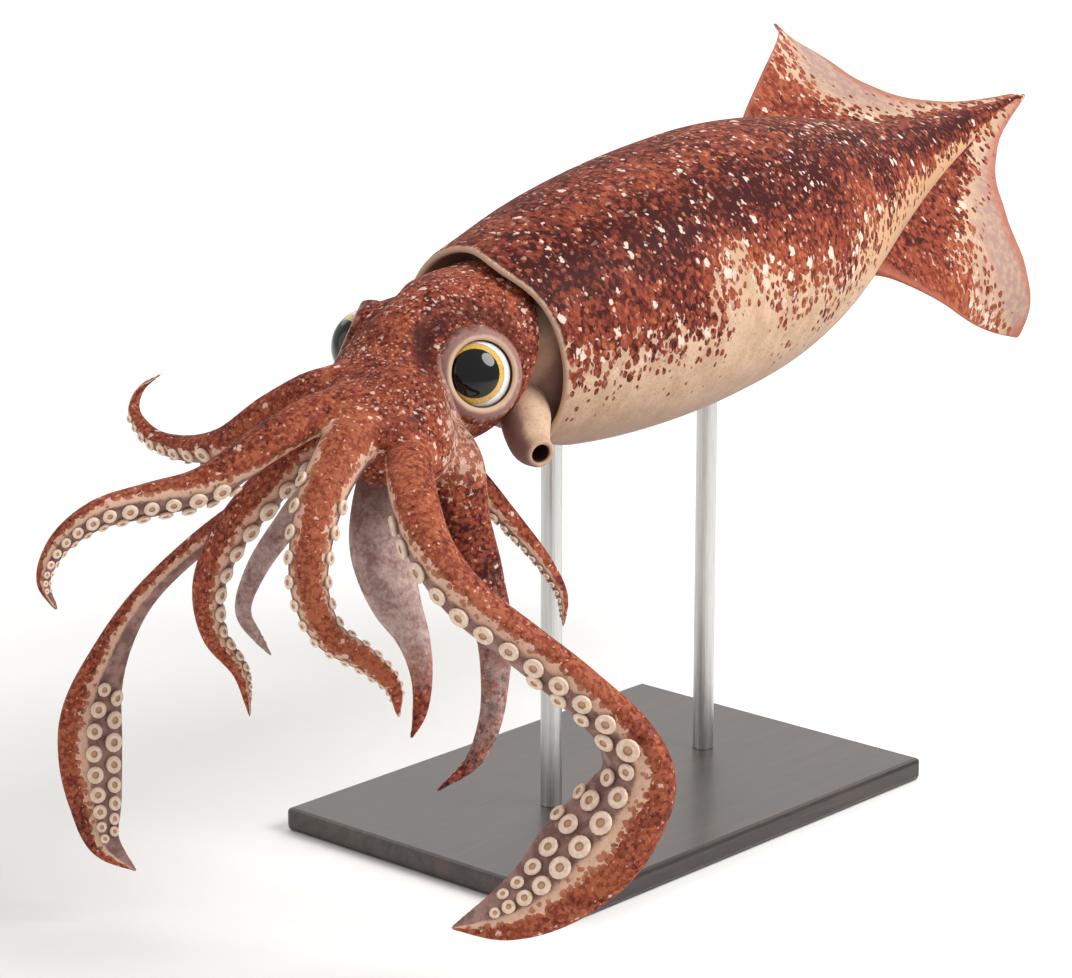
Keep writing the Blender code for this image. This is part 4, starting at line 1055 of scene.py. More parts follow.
forms = [head_form] + limb_forms + ball_forms
trees = [tree_of(form) for form in forms]
head_skin = joined("head_skin", forms)
head_skin.data.remesh_voxel_size = VOXEL
head_skin.data.remesh_voxel_adaptivity = 0.0
select_only(head_skin)
bpy.ops.object.voxel_remesh()
report(head_skin)

# %% [markdown]
# ## Knowing where on the squid a corner is
#
# The remesh forgets which limb a corner came from, and the colours need to know. So every
# corner asks each form how far away it is. The nearest ones decide, and where two are about
# as near, their answers are blended. A corner on a limb then learns its share of the length
# and how far round it sits from the suckers' side.

# %% Measure the skin
NEARBY = 0.020
# How far the head reaches below and above the collar on each axis, and a limb from its middle
HEAD_BOX = (0.25, 0.12)
LIMB_BOX_MARGIN = 0.042
# Nearer to the middle line than this, in half widths, the way round says little
LEAST_OFFSET = 0.05


def distances_to_forms(points):
    """One column per form: the distance of each point, or NEARBY where it is further."""
    table = np.full((len(points), len(trees)), NEARBY)
    nearest = np.zeros((len(points), len(trees), 3))
    for column, (tree, (low, high)) in enumerate(zip(trees, form_boxes)):
        inside = np.all((points > low - NEARBY) & (points < high + NEARBY), axis=1)
        for index in np.nonzero(inside)[0]:
            found, _, _, distance = tree.find_nearest(Vector(points[index]), NEARBY)
            if found is not None:
                table[index, column] = distance
                nearest[index, column] = found
    return table, nearest


def place_along(limb, points):
    """Share of the limb's length, and how far round from the pale face, of each point."""
    lookup = KDTree(ROUTE_SAMPLES)
    for sample, point in enumerate(limb.points):
        lookup.insert(point, sample)
    lookup.balance()
    samples = np.array([lookup.find(Vector(point))[1] for point in points])
    shares = samples / (ROUTE_SAMPLES - 1)
    middle, _, oral, sideways = limb.frames(shares)
    half_width, half_thickness = limb.half_sizes(shares)
    offset = points - middle
    toward = (offset * oral).sum(1) / half_thickness
    beside = (offset * sideways).sum(1) / half_width
    degrees, widening = read_table(FACE_TURNS.get(limb.name, NO_TURN), shares).T
    turn = np.radians(degrees)
    facing = toward * np.cos(turn) + beside * np.sin(turn)
    return shares, facing / np.maximum(np.hypot(toward, beside), LEAST_OFFSET) + widening


form_boxes = [(COLLAR - HEAD_BOX[0], COLLAR + HEAD_BOX[1])]
form_boxes += [(limb.points.min(0) - LIMB_BOX_MARGIN, limb.points.max(0) + LIMB_BOX_MARGIN)
               for limb in limbs]
form_boxes += [(np.array(middle) - radius, np.array(middle) + radius) for middle, radius in balls]
skin_points = read_corners(head_skin)
gaps, nearest_points = distances_to_forms(skin_points)
print("measured", len(skin_points), "corners of the head's skin")

# %% Relax the webs and keep the rest exact
WEB_WIDTH = 0.010
WEB_CORE = 0.35
WEB_ROUNDS, WEB_PULL = 16, 0.6
SNAP_REACH = VOXEL * 1.5
CROWN_MIDDLE = (394, 384, 0.150)
CROWN_REACH = 0.080
CROWN_CORE = 0.35
CROWN_ROUNDS, CROWN_PULL = 90, 0.8
EYE_KEEP = 0.043
EYE_KEEP_FADE = 1.35
LAST_ROUNDS, LAST_PULL = 2, 0.35


def relaxed(points, pull, rounds):
    """The points, drawn towards the mean of their neighbours by a pull, some rounds over."""
    ends, others = edges.T.ravel(), edges[:, ::-1].T.ravel()
    for _ in range(rounds):
        sums = [np.bincount(ends, points[others, axis], len(points)) for axis in range(3)]
        points = points + pull * (np.stack(sums, axis=1) / counts[:, None] - points)
    return points


edges = np.empty(len(head_skin.data.edges) * 2, int)
head_skin.data.edges.foreach_get("vertices", edges)
edges = edges.reshape(-1, 2)
counts = np.maximum(np.bincount(edges.ravel(), minlength=len(skin_points)), 1)
order = np.sort(gaps, axis=1)
web = (1 - eased(WEB_CORE, 1.0, order[:, 1] / WEB_WIDTH))[:, None]
exact = nearest_points[np.arange(len(skin_points)), np.argmin(gaps, axis=1)]
snapped = np.where(order[:, :1] < SNAP_REACH, exact, skin_points)
points = relaxed(snapped * (1 - web) + skin_points * web, web * WEB_PULL, WEB_ROUNDS)
from_crown = np.linalg.norm(points - from_picture(*CROWN_MIDDLE), axis=1)
softness = 1 - eased(CROWN_REACH * CROWN_CORE, CROWN_REACH, from_crown)
for middle, _ in eye_places().values():
    softness *= eased(EYE_KEEP, EYE_KEEP * EYE_KEEP_FADE, np.linalg.norm(points - middle, axis=1))
points = relaxed(points, softness[:, None] * CROWN_PULL, CROWN_ROUNDS)
points = relaxed(points, LAST_PULL, LAST_ROUNDS)
print("relaxed", int((web > 0.5).sum()), "corners in webs and", int((softness > 0.5).sum()), "on the crown")

# %% Press the eyes' openings in
OPENING_EDGE = 0.036
OPENING_FLOOR = 0.0265
UNDER_EYE = 0.0275
EYE_REGION = 0.06
# The crease over each eye: its ring's shift, radius, width and depth, and where it fades out
CREASE_SHIFT = -0.007 * ACROSS + 0.011 * RISE
CREASE_RADIUS = 0.0405
CREASE_WIDTH = 0.0055
CREASE_DEPTH = 0.0045
CREASE_START = (0.037, 0.042)
CREASE_FADE = (-0.030, 0.0)
CREASE_BACK = -0.012
CREASE_ROUNDS, CREASE_PULL = 3, 0.5


def about_axis(offset, facing):
    """How far ahead offsets reach along a direction, and how far beside it."""
    ahead = offset @ facing
    return ahead, np.linalg.norm(offset - ahead[:, None] * facing, axis=1)


for middle, facing in eye_places().values():
    offset = points - middle
    ahead, beside = about_axis(offset, facing)
    distance = np.linalg.norm(offset, axis=1)
    seat = UNDER_EYE + (ORBIT_RADIUS - UNDER_EYE) * eased(OPENING_FLOOR, OPENING_EDGE, beside)
    pressed = (ahead > 0) & (beside < OPENING_EDGE) & (distance > seat) & (distance < EYE_REGION)
    points[pressed] = middle + offset[pressed] * (seat / distance)[pressed][:, None]
    shifted = offset - CREASE_SHIFT
    _, from_axis = about_axis(shifted, facing)
    creased = (ahead > CREASE_BACK) * eased(*CREASE_START, beside) * eased(*CREASE_FADE, shifted @ RISE)
    crease = CREASE_DEPTH * np.exp(-((from_axis - CREASE_RADIUS) / CREASE_WIDTH) ** 2) * creased
    points = points - crease[:, None] * facing
    print("pressed", int(pressed.sum()), "corners in for an eye")
points = relaxed(points, CREASE_PULL, CREASE_ROUNDS)
write_corners(head_skin, points)

# %% Keep the places as values
BLEND_WIDTH = 0.0035
NECK_EDGE = (-0.0005, 0.003)
NECK_SHADOW = (0.010, 0.034)

head_and_limbs, of_balls = gaps[:, :len(limbs) + 1], gaps[:, len(limbs) + 1:]
weights = np.exp(-(head_and_limbs - order[:, :1]) / BLEND_WIDTH) * (head_and_limbs < NEARBY)
weights[:, 0] += np.exp(-(of_balls.min(1) - order[:, 0]) / BLEND_WIDTH)
weights /= np.maximum(weights.sum(1, keepdims=True), 1e-6)
oral_value = -1.0 * weights[:, 0]
share_value = np.zeros(len(points))
grey_value = np.zeros(len(points))
for column, limb in enumerate(limbs, start=1):
    near = weights[:, column] > 0.01
    shares, toward = place_along(limb, points[near])
    oral_value[near] += weights[near, column] * toward
    share_value[near] += weights[near, column] * shares
    if limb.name in GREYED:
        first, last, strength = GREYED[limb.name]
        grown = eased(first - GREY_FADE, first, shares) * (1 - eased(last, last + GREY_FADE, shares))
        grey_value[near] += weights[near, column] * strength * grown
tone_value = weights @ np.array([HEAD_DUSK] + [LIMB_DUSK[limb.name] for limb in limbs])
past_cheek = behind_cheek(points)
neck_value = (eased(*NECK_EDGE, past_cheek) + eased(*NECK_SHADOW, past_cheek)) * weights[:, 0]
for value_name, numbers in (("oral", oral_value), ("share", share_value), ("grey", grey_value),
                            ("tone", tone_value), ("neck", neck_value)):
    write_values(head_skin, value_name, numbers)
select_only(head_skin)
bpy.ops.object.shade_smooth()
report(head_skin)

# %% [markdown]
# ## The finish of the head and limbs
#
# A limb is rust on its outer side. Towards the suckers the rust ends in a ragged, cream-pink
# line, and the face between the suckers is mauve. The inner arms are grey, partly as painted
# shade, and darker still near the crown, which is painted shade between the arms. The head is
# rust all over with orange clouds, a darker ring of painted shade round each eye, a crease over
# it painted dark as shade, a painted dark line of shade at the opening, and then a mauve and a
# cream ring on the lids. All of it is worked out from the values above and from the distance to
# the line that an eye looks along, so the lids, which are a piece of their own, match the skin
# under them.

# %% The finish of head, limbs and lids
# The mottled skin under the near eye: pixel across, pixel down, metres nearer than the collar
MOTTLED_PLACE = (462, 444, 0.128)
# Where the mauve ring starts and where it is full, in metres from each eye's axis
MAUVE_RING = {"eye_left": (0.0395, 0.0330), "eye_right": (0.0335, 0.0285)}
LID_COVER = 0.95
RUST_EDGE = 0.57
RUST_SHARPNESS = 1.75
PINK_LINE = (0.76, 0.470, 0.350, 1.0)
MOTTLING = (0.48, 0.29, 0.24, 1.0)
GREY_DEEP = (0.270, 0.175, 0.160, 1.0)
GREY_PALE = (0.580, 0.450, 0.410, 1.0)
GREY_ROOT_SHADE = (0.090, 0.042, 0.038, 1.0)
NECK_SAND = (0.42, 0.26, 0.18, 1.0)


def eye_rings(skin, place, colour):
    """Paints the rings round both eyes: a darker ring of painted shade round the orbit and a crease over it
    painted dark as shade, the mauve and cream rings of the lids, and a dark line of painted shade at the
    opening.
    """
    wobble = (skin.noise(place, 90.0, 3.0) - 0.5) * 0.010
    for eye, (middle, facing) in eye_places().items():
        ahead, beside = skin.about_line(skin.from_point(place, middle), facing)
        front = ahead.step(-0.012, 0.006)
        around = beside + wobble
        # Painted shade: a darker ring round the orbit, where the bulging eye shades the head.
        dusk = around.step(0.070, 0.054) * around.step(0.036, 0.048) * front
        colour = skin.mix(dusk * 0.30, colour, MAROON)
        # Painted shade: the crease over the eye is painted dark, on top of the groove pressed into the skin.
        shifted = skin.from_point(place, middle + CREASE_SHIFT)
        _, from_axis = skin.about_line(shifted, facing)
        crease = (from_axis + wobble * 0.7 - CREASE_RADIUS).size().step(0.014, 0.003)
        crease = crease * around.step(0.038, 0.044) * skin.dot(shifted, RISE).step(-0.034, 0.004)
        colour = skin.mix(crease * front * 0.85, colour, MAROON)
        mauve = around.step(*MAUVE_RING[eye]) * front
        colour = skin.mix(mauve * 0.80, colour, MAUVE)
        cream = (beside + wobble * 0.25).step(0.0315, 0.0285) * front
        colour = skin.mix(cream * 0.92, colour, CREAM)
        # Painted shade: a dark line round the opening, where the lid meets the eyeball.
        rim = beside.step(0.0266, 0.0258) * front
        colour = skin.mix(rim, colour, MAROON)
    return colour


def lid_skin_finish():
    """The lids' skin: rust under the rings, with nothing of a limb."""
    skin = Finish("lid_skin", **SKIN_GLOSS)
    place = skin.place()
    full = skin.node("ShaderNodeMath", {"operation": "ADD"}, {0: LID_COVER, 1: 0.0})
    colour, pigment, fine = coloured_skin(skin, place, full, skin.noise(place, 30.0) * 0.5, 0.6, 1.30)
    finish_skin(skin, place, eye_rings(skin, place, colour), pigment, fine)
    return skin.material


def greyish_skin(skin, place, fine, patches, ragged, share):
    """The inner arms' grey, partly painted shade, with rust patches, and painted shade darker towards the
    root, between the arms at the crown.
    """
    clouds = (fine * 0.35 + skin.noise(place, 75.0, 5.0, 0.7) * 0.65).step(0.36, 0.62)
    grey = skin.mix(clouds, GREY_DEEP, GREY_PALE)
    grey = skin.mix((patches + ragged * 0.8).step(0.02, 0.30) * 0.50, grey, RUST)
    # Painted shade: the grey goes dark towards the root, where the arms crowd round the crown.
    return skin.mix(share.step(0.46, 0.10) * 0.80, grey, GREY_ROOT_SHADE)


def head_finish():
    skin = Finish("head_and_limb_skin", **SKIN_GLOSS)
    place = skin.place()
    oral, share, grey, neck, tone = (skin.value(value) for value in ("oral", "share", "grey", "neck", "tone"))
    patches = skin.noise(place, 26.0, 3.0) - 0.5
    ragged = skin.noise(place, 210.0, 4.0, 0.65) - 0.5
    across = oral + ragged * 0.35
    under_eye = skin.length(skin.from_point(place, from_picture(*MOTTLED_PLACE))) + patches * 0.02
    mottled = under_eye.step(0.066, 0.010)
    cover = ((RUST_EDGE - oral) * RUST_SHARPNESS + patches * 0.5).least(FULL_COVER) - mottled * 0.40
    on_crown = share.step(0.20, 0.02)
    outer = oral.step(-0.10, -0.85) * (1.0 - on_crown)
    dusk = patches * 1.3 + tone + on_crown * 0.28 + outer * 0.26 - mottled * 0.30
    amount = 0.50 + on_crown * 1.50
    colour, pigment, fine = coloured_skin(skin, place, cover, dusk, amount, 1.20, 0.55, PINK_FLECK)
    bare = 1.0 - pigment
    line = bare * across.step(-0.50, 0.0) * (0.45 + 0.55 * (fine + ragged).step(0.38, 0.55))
    colour = skin.mix(line * 0.85, colour, PINK_LINE)
    colour = skin.mix(mottled * bare * 0.60, colour, MOTTLING)
    mauve_clouds = skin.mix(skin.noise(place, 80.0, 4.0, 0.6).step(0.40, 0.60), MAUVE, MAUVE_SHADE)
    colour = skin.mix(across.step(0.46, 0.62) * 0.94, colour, mauve_clouds)
    # The inner arms' grey is partly painted shade.
    grey_face = (grey + ragged * 1.2 + patches).step(0.10, 0.90)
    colour = skin.mix(grey_face * 0.90, colour, greyish_skin(skin, place, fine, patches, ragged, share))
    colour = eye_rings(skin, place, colour)
    sandy = skin.mix(skin.noise(place, 55.0, 4.0).step(0.38, 0.60), SAND, NECK_SAND)
    # Painted shadow: the bare neck goes mauve towards the collar, as the shade under the collar's lip.
    sandy = skin.mix((neck + ragged * 0.5).step(1.25, 1.80) * 0.75, sandy, MAUVE_SHADE)
    colour = skin.mix(neck, colour, sandy)
    finish_skin(skin, place, colour, pigment, fine)
    return skin.material


head_skin.data.materials.clear()
head_skin.data.materials.append(head_finish())
print("head and limbs finished with", head_skin.data.materials[0].name)

# %% [markdown]
# ## The lids
#
# A squid's eye looks out through a round opening with a soft, raised rim. Each lid is turned
# round the line of sight: from the eyeball over the rim's crest and gently down under the
# skin. It is its own fine mesh, because the rim is thinner than the skin's voxels.

# %% The lids
# A lid's section from the opening over its crest to the outer edge: radius, height
LID_SECTION = [(0.0262, 0.0150), (0.0254, 0.0178), (0.0258, 0.0198), (0.0270, 0.0212), (0.0286, 0.0218),
               (0.0306, 0.0215), (0.0328, 0.0202), (0.0350, 0.0180), (0.0372, 0.0150), (0.0388, 0.0112)]
# The far lid is rounder, because it makes the head's outline there
FAR_LID_SECTION = [(0.0262, 0.0150), (0.0254, 0.0174), (0.0260, 0.0192), (0.0273, 0.0203), (0.0290, 0.0206),
                   (0.0308, 0.0197), (0.0326, 0.0177), (0.0342, 0.0149), (0.0354, 0.0115), (0.0362, 0.0074)]
LID_BACK = [(0.0350, 0.0060), (0.0300, 0.0080), (0.0262, 0.0150)]
LID_AROUND = 96


def turned_piece(name, outline, middle, facing, around):
    """Turns an outline of (radius, height) rows round the line that the eye looks along."""
    turned = np.array(Vector(facing).to_track_quat("Z", "Y").to_matrix())

    def place(u, v):
        radius, height = read_rows(outline, v).T
        turn = 2 * math.pi * u
        local = np.stack([radius * np.cos(turn), radius * np.sin(turn), height], axis=1)
        return middle + local @ turned.T
    return rolled_grid(name, around, len(outline) - 1, place)


lid_skin = lid_skin_finish()
lids = {}
for eye_name, (middle, facing) in eye_places().items():
    section = LID_SECTION if eye_name == "eye_left" else FAR_LID_SECTION
    smooth = catmull_rom([(radius, height, 0.0) for radius, height in section], 4)[:, :2]
    outline = [tuple(row) for row in smooth] + LID_BACK
    lid = turned_piece(f"lid_{eye_name.split('_')[1]}", outline, middle, facing, LID_AROUND)
    lid.data.materials.append(lid_skin)
    lids[eye_name] = lid
    report(lid)

# %% [markdown]
# ## The eyes
#
# The eye is large and bright: a black pupil, a thin gold iris with fine radial fibres, and
# white beyond. It looks a little ahead of the way the opening faces, which leaves a white
# crescent behind. The eyeball is a plain turned shape with a slightly raised cornea, and the
# rings are drawn by the angle from the line of sight. A clear coat makes it wet.

# %% The eyes
# Where each eye looks: across, up and near in the view
GAZES = {"eye_left": (0.150, 0.005, 0.989), "eye_right": (-0.80, 0.08, 0.58)}
PUPIL_EDGE = math.cos(math.radians(37.8))
IRIS_EDGE = math.cos(math.radians(48.5))
CORNEA_RAISE = 0.012
CORNEA_ANGLE = 0.75
EYE_AROUND = 64
EYE_WHITE = (0.80, 0.79, 0.76, 1.0)
EYE_CLOUD = (0.62, 0.60, 0.57, 1.0)
GOLD_DEEP = (0.52, 0.29, 0.045, 1.0)
GOLD = (0.78, 0.50, 0.12, 1.0)
IRIS_RING = (0.10, 0.055, 0.02, 1.0)
PUPIL_BLACK = (0.004, 0.004, 0.004, 1.0)
PUPIL_BROWN = (0.020, 0.012, 0.007, 1.0)


def eye_finish(name, middle, gaze):
    eye = Finish(name, Roughness=0.12, Coat_Weight=1.0, Coat_Roughness=0.02, Coat_IOR=1.42,
                 Specular_IOR_Level=0.05)
    offset = eye.from_point(eye.place(), middle)
    angle = eye.dot(offset, gaze) / eye.length(offset)
    fibres = eye.noise(eye.place(), 900.0, 3.0, 0.7)
    white = eye.mix(eye.noise(eye.place(), 160.0, 3.0).step(0.3, 0.8), EYE_WHITE, EYE_CLOUD)
    gold = eye.mix(fibres.step(0.35, 0.65), GOLD_DEEP, GOLD)
    black = eye.mix(eye.noise(eye.place(), 120.0, 4.0).step(0.55, 0.8), PUPIL_BLACK, PUPIL_BROWN)
    ragged = (fibres - 0.5) * 0.012
    iris = (angle + ragged).step(IRIS_EDGE - 0.006, IRIS_EDGE + 0.006)
    colour = eye.mix(iris, white, gold)
    ring = (angle - IRIS_EDGE).size().step(0.010, 0.004)
    colour = eye.mix(ring * 0.75, colour, IRIS_RING)
    pupil = (angle + ragged * 0.5).step(PUPIL_EDGE - 0.005, PUPIL_EDGE + 0.005)
    eye.feed("Base Color", eye.mix(pupil, colour, black))
    eye.feed("Roughness", 0.22 - 0.10 * pupil)
    return eye.material


arc = np.linspace(0.0, math.pi, 41)
reach = EYE_RADIUS * (1 + CORNEA_RAISE * np.exp(-(arc / CORNEA_ANGLE) ** 4))
ball_outline = list(zip(reach * np.sin(arc), reach * np.cos(arc)))
eyes = {}
for eye_name, (middle, _) in eye_places().items():
    gaze = view_vector(*GAZES[eye_name])
    eyes[eye_name] = turned_piece(f"{eye_name}_ball", ball_outline, middle, gaze, EYE_AROUND)
    eyes[eye_name].data.materials.append(eye_finish(f"{eye_name}_finish", middle, gaze))
    report(eyes[eye_name])

# %% [markdown]
# ## The funnel
#
# Under the head a short nozzle, the funnel, points forward and down. The squid steers its jet
# with it. It is a bent cone with a rolled mouth and an open bore, pale and sandy above and
# mauve on its shaded side.

# %% The funnel
# The funnel's middle line: pixel across, pixel down, metres nearer than the collar, radius
FUNNEL_ROUTE = [(514, 384, -0.012, 0.0185), (520, 401, 0.016, 0.0205), (525, 417, 0.033, 0.0205),
                (527, 432, 0.044, 0.0185), (531, 445, 0.053, 0.0160), (540, 453, 0.065, 0.0122)]
FUNNEL_BORE = 0.0074
FUNNEL_BORE_DEPTH = 0.020
FUNNEL_AROUND = 48
# The side away from the light: where its shade starts and which way it grows
SHADE_START = (526, 425, 0.036)
SHADE_TOWARD = -0.9 * ACROSS - 0.3 * RISE
FUNNEL_SHADE = (0.235, 0.128, 0.120, 1.0)
BORE_SHADE = (0.045, 0.020, 0.016, 1.0)

funnel_line = catmull_rom([from_picture(x, y, near) for x, y, near, _ in FUNNEL_ROUTE], per_span=14)
funnel_stations = np.linspace(0.0, 1.0, len(FUNNEL_ROUTE))
funnel_radii = [(station, row[3]) for station, row in zip(funnel_stations, FUNNEL_ROUTE)]


def funnel_section():
    """Rows of (share of the route, step past its end, radius): outside, mouth and bore."""
    shares = np.linspace(0.0, 1.0, 44)
    rows = [(0.0, 0.0, 0.0)] + [(s, 0.0, float(read_table(funnel_radii, s)[0])) for s in shares]
    last = rows[-1][2]
    middle, reach = (last + FUNNEL_BORE) / 2, (last - FUNNEL_BORE) / 2
    for turn in np.linspace(0.3, math.pi, 7):
        rows.append((1.0, reach * math.sin(turn), middle + reach * math.cos(turn)))
    rows += [(1.0, -0.006, FUNNEL_BORE * 0.95), (1.0, -FUNNEL_BORE_DEPTH, FUNNEL_BORE * 0.8),
             (1.0, -FUNNEL_BORE_DEPTH, 0.0)]
    return np.array(rows)


funnel_rows = funnel_section()


def place_on_funnel(u, v):
    share, past, radius = read_rows(funnel_rows, v).T
    middle, onward, lateral, upward = along_line(funnel_line, share)
    turn = 2 * math.pi * u
    spoke = lateral * np.cos(turn)[:, None] + upward * np.sin(turn)[:, None]
    return middle + onward * past[:, None] + spoke * radius[:, None]


def funnel_values(u, v):
    """Kept for the finish: 1 inside the bore."""
    row = v * (len(funnel_rows) - 1)
    return {"bore": eased(len(funnel_rows) - 6, len(funnel_rows) - 4, row)}


def funnel_finish():
    skin = Finish("funnel_skin", **SKIN_GLOSS)
    place = skin.place()
    shaded = skin.dot(skin.from_point(place, from_picture(*SHADE_START)), SHADE_TOWARD) * 90.0
    shaded = shaded + 0.3 + (skin.noise(place, 60.0, 4.0) - 0.5) * 1.6
    colour = skin.mix(shaded.step(0.0, 1.0) * 0.92, pale_ground(skin, place), FUNNEL_SHADE)
    colour = skin.mix(skin.value("bore"), colour, BORE_SHADE)
    fine = skin.noise(place, 210.0, 4.0, 0.65)
    finish_skin(skin, place, colour, fine * 0.0, fine)
    return skin.material


funnel_skin = rolled_grid("funnel_tube", FUNNEL_AROUND, len(funnel_rows) - 1, place_on_funnel,
                          funnel_values)
funnel_skin.data.materials.append(funnel_finish())
report(funnel_skin)

# %% [markdown]
# ## The suckers
#
# Every arm carries two rows of suckers to its tip, and the clubs carry more, large in the
# middle. A sucker is a short cup: a narrow foot sunk in the skin, a swollen side, a rim, and
# a dished face with a pit. One cup has a few dozen faces, and hundreds are written into one
# mesh per limb. Their sizes follow the limb's width with a little chance in them.

# %% The suckers
# Rows of suckers: turn from sideways in degrees, rim radius in half widths, first and last share
ARM_ROWS = [(117.0, 0.40), (63.0, 0.40)]
SPREAD_ROWS = {"arm_2_left": [(204.0, 0.36), (-26.0, 0.36)], "arm_1_right": [(152.0, 0.30), (46.0, 0.44)],
               "arm_1_left": [(97.0, 0.34), (54.0, 0.40)], "arm_2_right": [(146.0, 0.30), (50.0, 0.41)]}
ARM_ROW_STARTS = {"arm_1_right": 0.48, "arm_1_left": 0.44, "arm_2_right": 0.20, "arm_2_left": 0.37,
                  "arm_3_left": 0.30, "arm_4_left": 0.45, "arm_4_right": 0.42, "arm_3_right": 0.30}
ARM_ROW_ENDS = {"arm_1_right": 0.86}
LAST_SHARE = 0.96
STALK_ROWS = {"tentacle_left": [(110.0, 0.385, 0.235, 0.645), (74.0, 0.340, 0.475, 0.615)]}
CLUB_ROWS = {"tentacle_left": [(91.0, 0.225, 0.668, 0.955), (61.0, 0.215, 0.680, 0.935),
                               (34.0, 0.170, 0.676, 0.800), (104.0, 0.150, 0.695, 0.735)],
             "tentacle_right": [(88.0, 0.270, 0.665, 0.940), (125.0, 0.290, 0.660, 0.940),
                                (106.0, 0.100, 0.68, 0.93)]}
# Spacing in half widths: arms, the left stalk, the clubs, and the arms that differ
SUCKER_SPACING = {"arm": 1.22, "stalk": 1.04, "tentacle_left": 0.56, "tentacle_right": 0.66,
                  "arm_1_right": 1.34, "arm_1_left": 1.06, "arm_2_right": 1.08}
SMALLEST_SUCKER = 0.0008
SIZE_SPREAD = 0.07
LARGE_SUCKER = 0.0050
FEW_SIDES = 10
MANY_SIDES = 14
# Outline of a cup, in rim radii: distance out, height, and a value that colours it. The
# middle of the pit has only the last two.
CUP = [(0.62, -0.40, 1.0), (0.90, 0.16, 0.80), (1.00, 0.42, 0.58), (0.80, 0.58, 0.48), (0.40, 0.50, 0.36),
       (0.30, 0.40, 0.14)]
CUP_MIDDLE = (0.42, 0.0)
MARCH_STEP = 0.002
CROWDING = 0.90
FLESH = (0.86, 0.665, 0.520, 1.0)
FLESH_SHADE = (0.74, 0.540, 0.410, 1.0)
CUP_GROOVE_SHADE = (0.33, 0.155, 0.085, 1.0)
CUP_PIT = (0.52, 0.290, 0.165, 1.0)
CUP_FOOT_SHADE = (0.13, 0.062, 0.046, 1.0)


def sucker_rows(limb):
    """The rows of one limb, each with its spacing in half widths."""
    if limb.name in ARM_HALF_WIDTHS:
        spacing = SUCKER_SPACING.get(limb.name, SUCKER_SPACING["arm"])
        return [(*row, ARM_ROW_STARTS[limb.name], ARM_ROW_ENDS.get(limb.name, LAST_SHARE), spacing)
                for row in SPREAD_ROWS.get(limb.name, ARM_ROWS)]
    return ([(*row, SUCKER_SPACING["stalk"]) for row in STALK_ROWS.get(limb.name, [])]
            + [(*row, SUCKER_SPACING[limb.name]) for row in CLUB_ROWS[limb.name]])


def sucker_places(limb):
    """Marches down every row and gives share, turn and rim radius of each sucker."""
    found = []
    for number, (degrees, size, first, last, spacing) in enumerate(sucker_rows(limb)):
        turn = math.radians(degrees)
        share = first + 0.5 * spacing * (number % 2) * float(limb.half_sizes(first)[0]) / limb.length
        last_point = None
        while share < last:
            half_width = float(limb.half_sizes(share)[0])
            point = limb.surface(np.array([turn]), np.array([share]))[0]
            if last_point is None or np.linalg.norm(point - last_point) >= spacing * half_width:
                radius = size * half_width * random.uniform(1 - SIZE_SPREAD, 1 + SIZE_SPREAD)
                if radius < SMALLEST_SUCKER:
                    break
                found.append((radius, share, turn, point))
                last_point = point
            share += MARCH_STEP
    places = []
    for radius, share, turn, point in sorted(found, key=lambda row: -row[0]):
        if all(np.linalg.norm(point - other[3]) > CROWDING * (radius + other[2]) for other in places):
            places.append((share, turn, radius, point))
    return [place[:3] for place in places]


def sucker_mesh(limb):
    """All the cups of one limb as one mesh."""
    corners, faces, values = [], [], []
    cup = np.array(CUP)
    for share, turn, radius in sucker_places(limb):
        sides = MANY_SIDES if radius > LARGE_SUCKER else FEW_SIDES
        angles = np.linspace(0.0, 2 * math.pi, sides, endpoint=False) + random.uniform(0.0, 1.0)
        middle, onward, oral, sideways = (row[0] for row in limb.frames(share))
        half_width, half_thickness = (float(size) for size in limb.half_sizes(share))
        surface = limb.surface(np.array([turn]), np.array([share]))[0]
        flatness = ORAL_FLATNESS if math.sin(turn) > 0 else 1.0
        outward = unit(oral * math.sin(turn) / (half_thickness * flatness)
                       + sideways * math.cos(turn) / half_width)
        second = unit(np.cross(outward, onward))
        first = np.cross(second, outward)
        start = len(corners)
        for out, height, value in cup:
            for angle in angles:
                spoke = first * math.cos(angle) + second * math.sin(angle)
                corners.append(surface + (outward * height + spoke * out) * radius)
                values.append(value)
        corners.append(surface + outward * CUP_MIDDLE[0] * radius)
        values.append(CUP_MIDDLE[1])
        for ring in range(len(cup) - 1):
            for side in range(sides):
                after = (side + 1) % sides
                low, high = start + ring * sides, start + (ring + 1) * sides
                faces.append((low + side, low + after, high + after, high + side))
        top = start + (len(cup) - 1) * sides
        faces += [(top + side, top + (side + 1) % sides, len(corners) - 1) for side in range(sides)]
        faces.append(tuple(start + side for side in reversed(range(sides))))
    mesh = bpy.data.meshes.new(f"{limb.name}_suckers")
    mesh.from_pydata([tuple(corner) for corner in corners], [], faces)
    piece = bpy.data.objects.new(f"{limb.name}_suckers", mesh)
    bpy.context.scene.collection.objects.link(piece)
    write_values(piece, "cup", values)
    select_only(piece)
    bpy.ops.object.shade_smooth()
    return piece


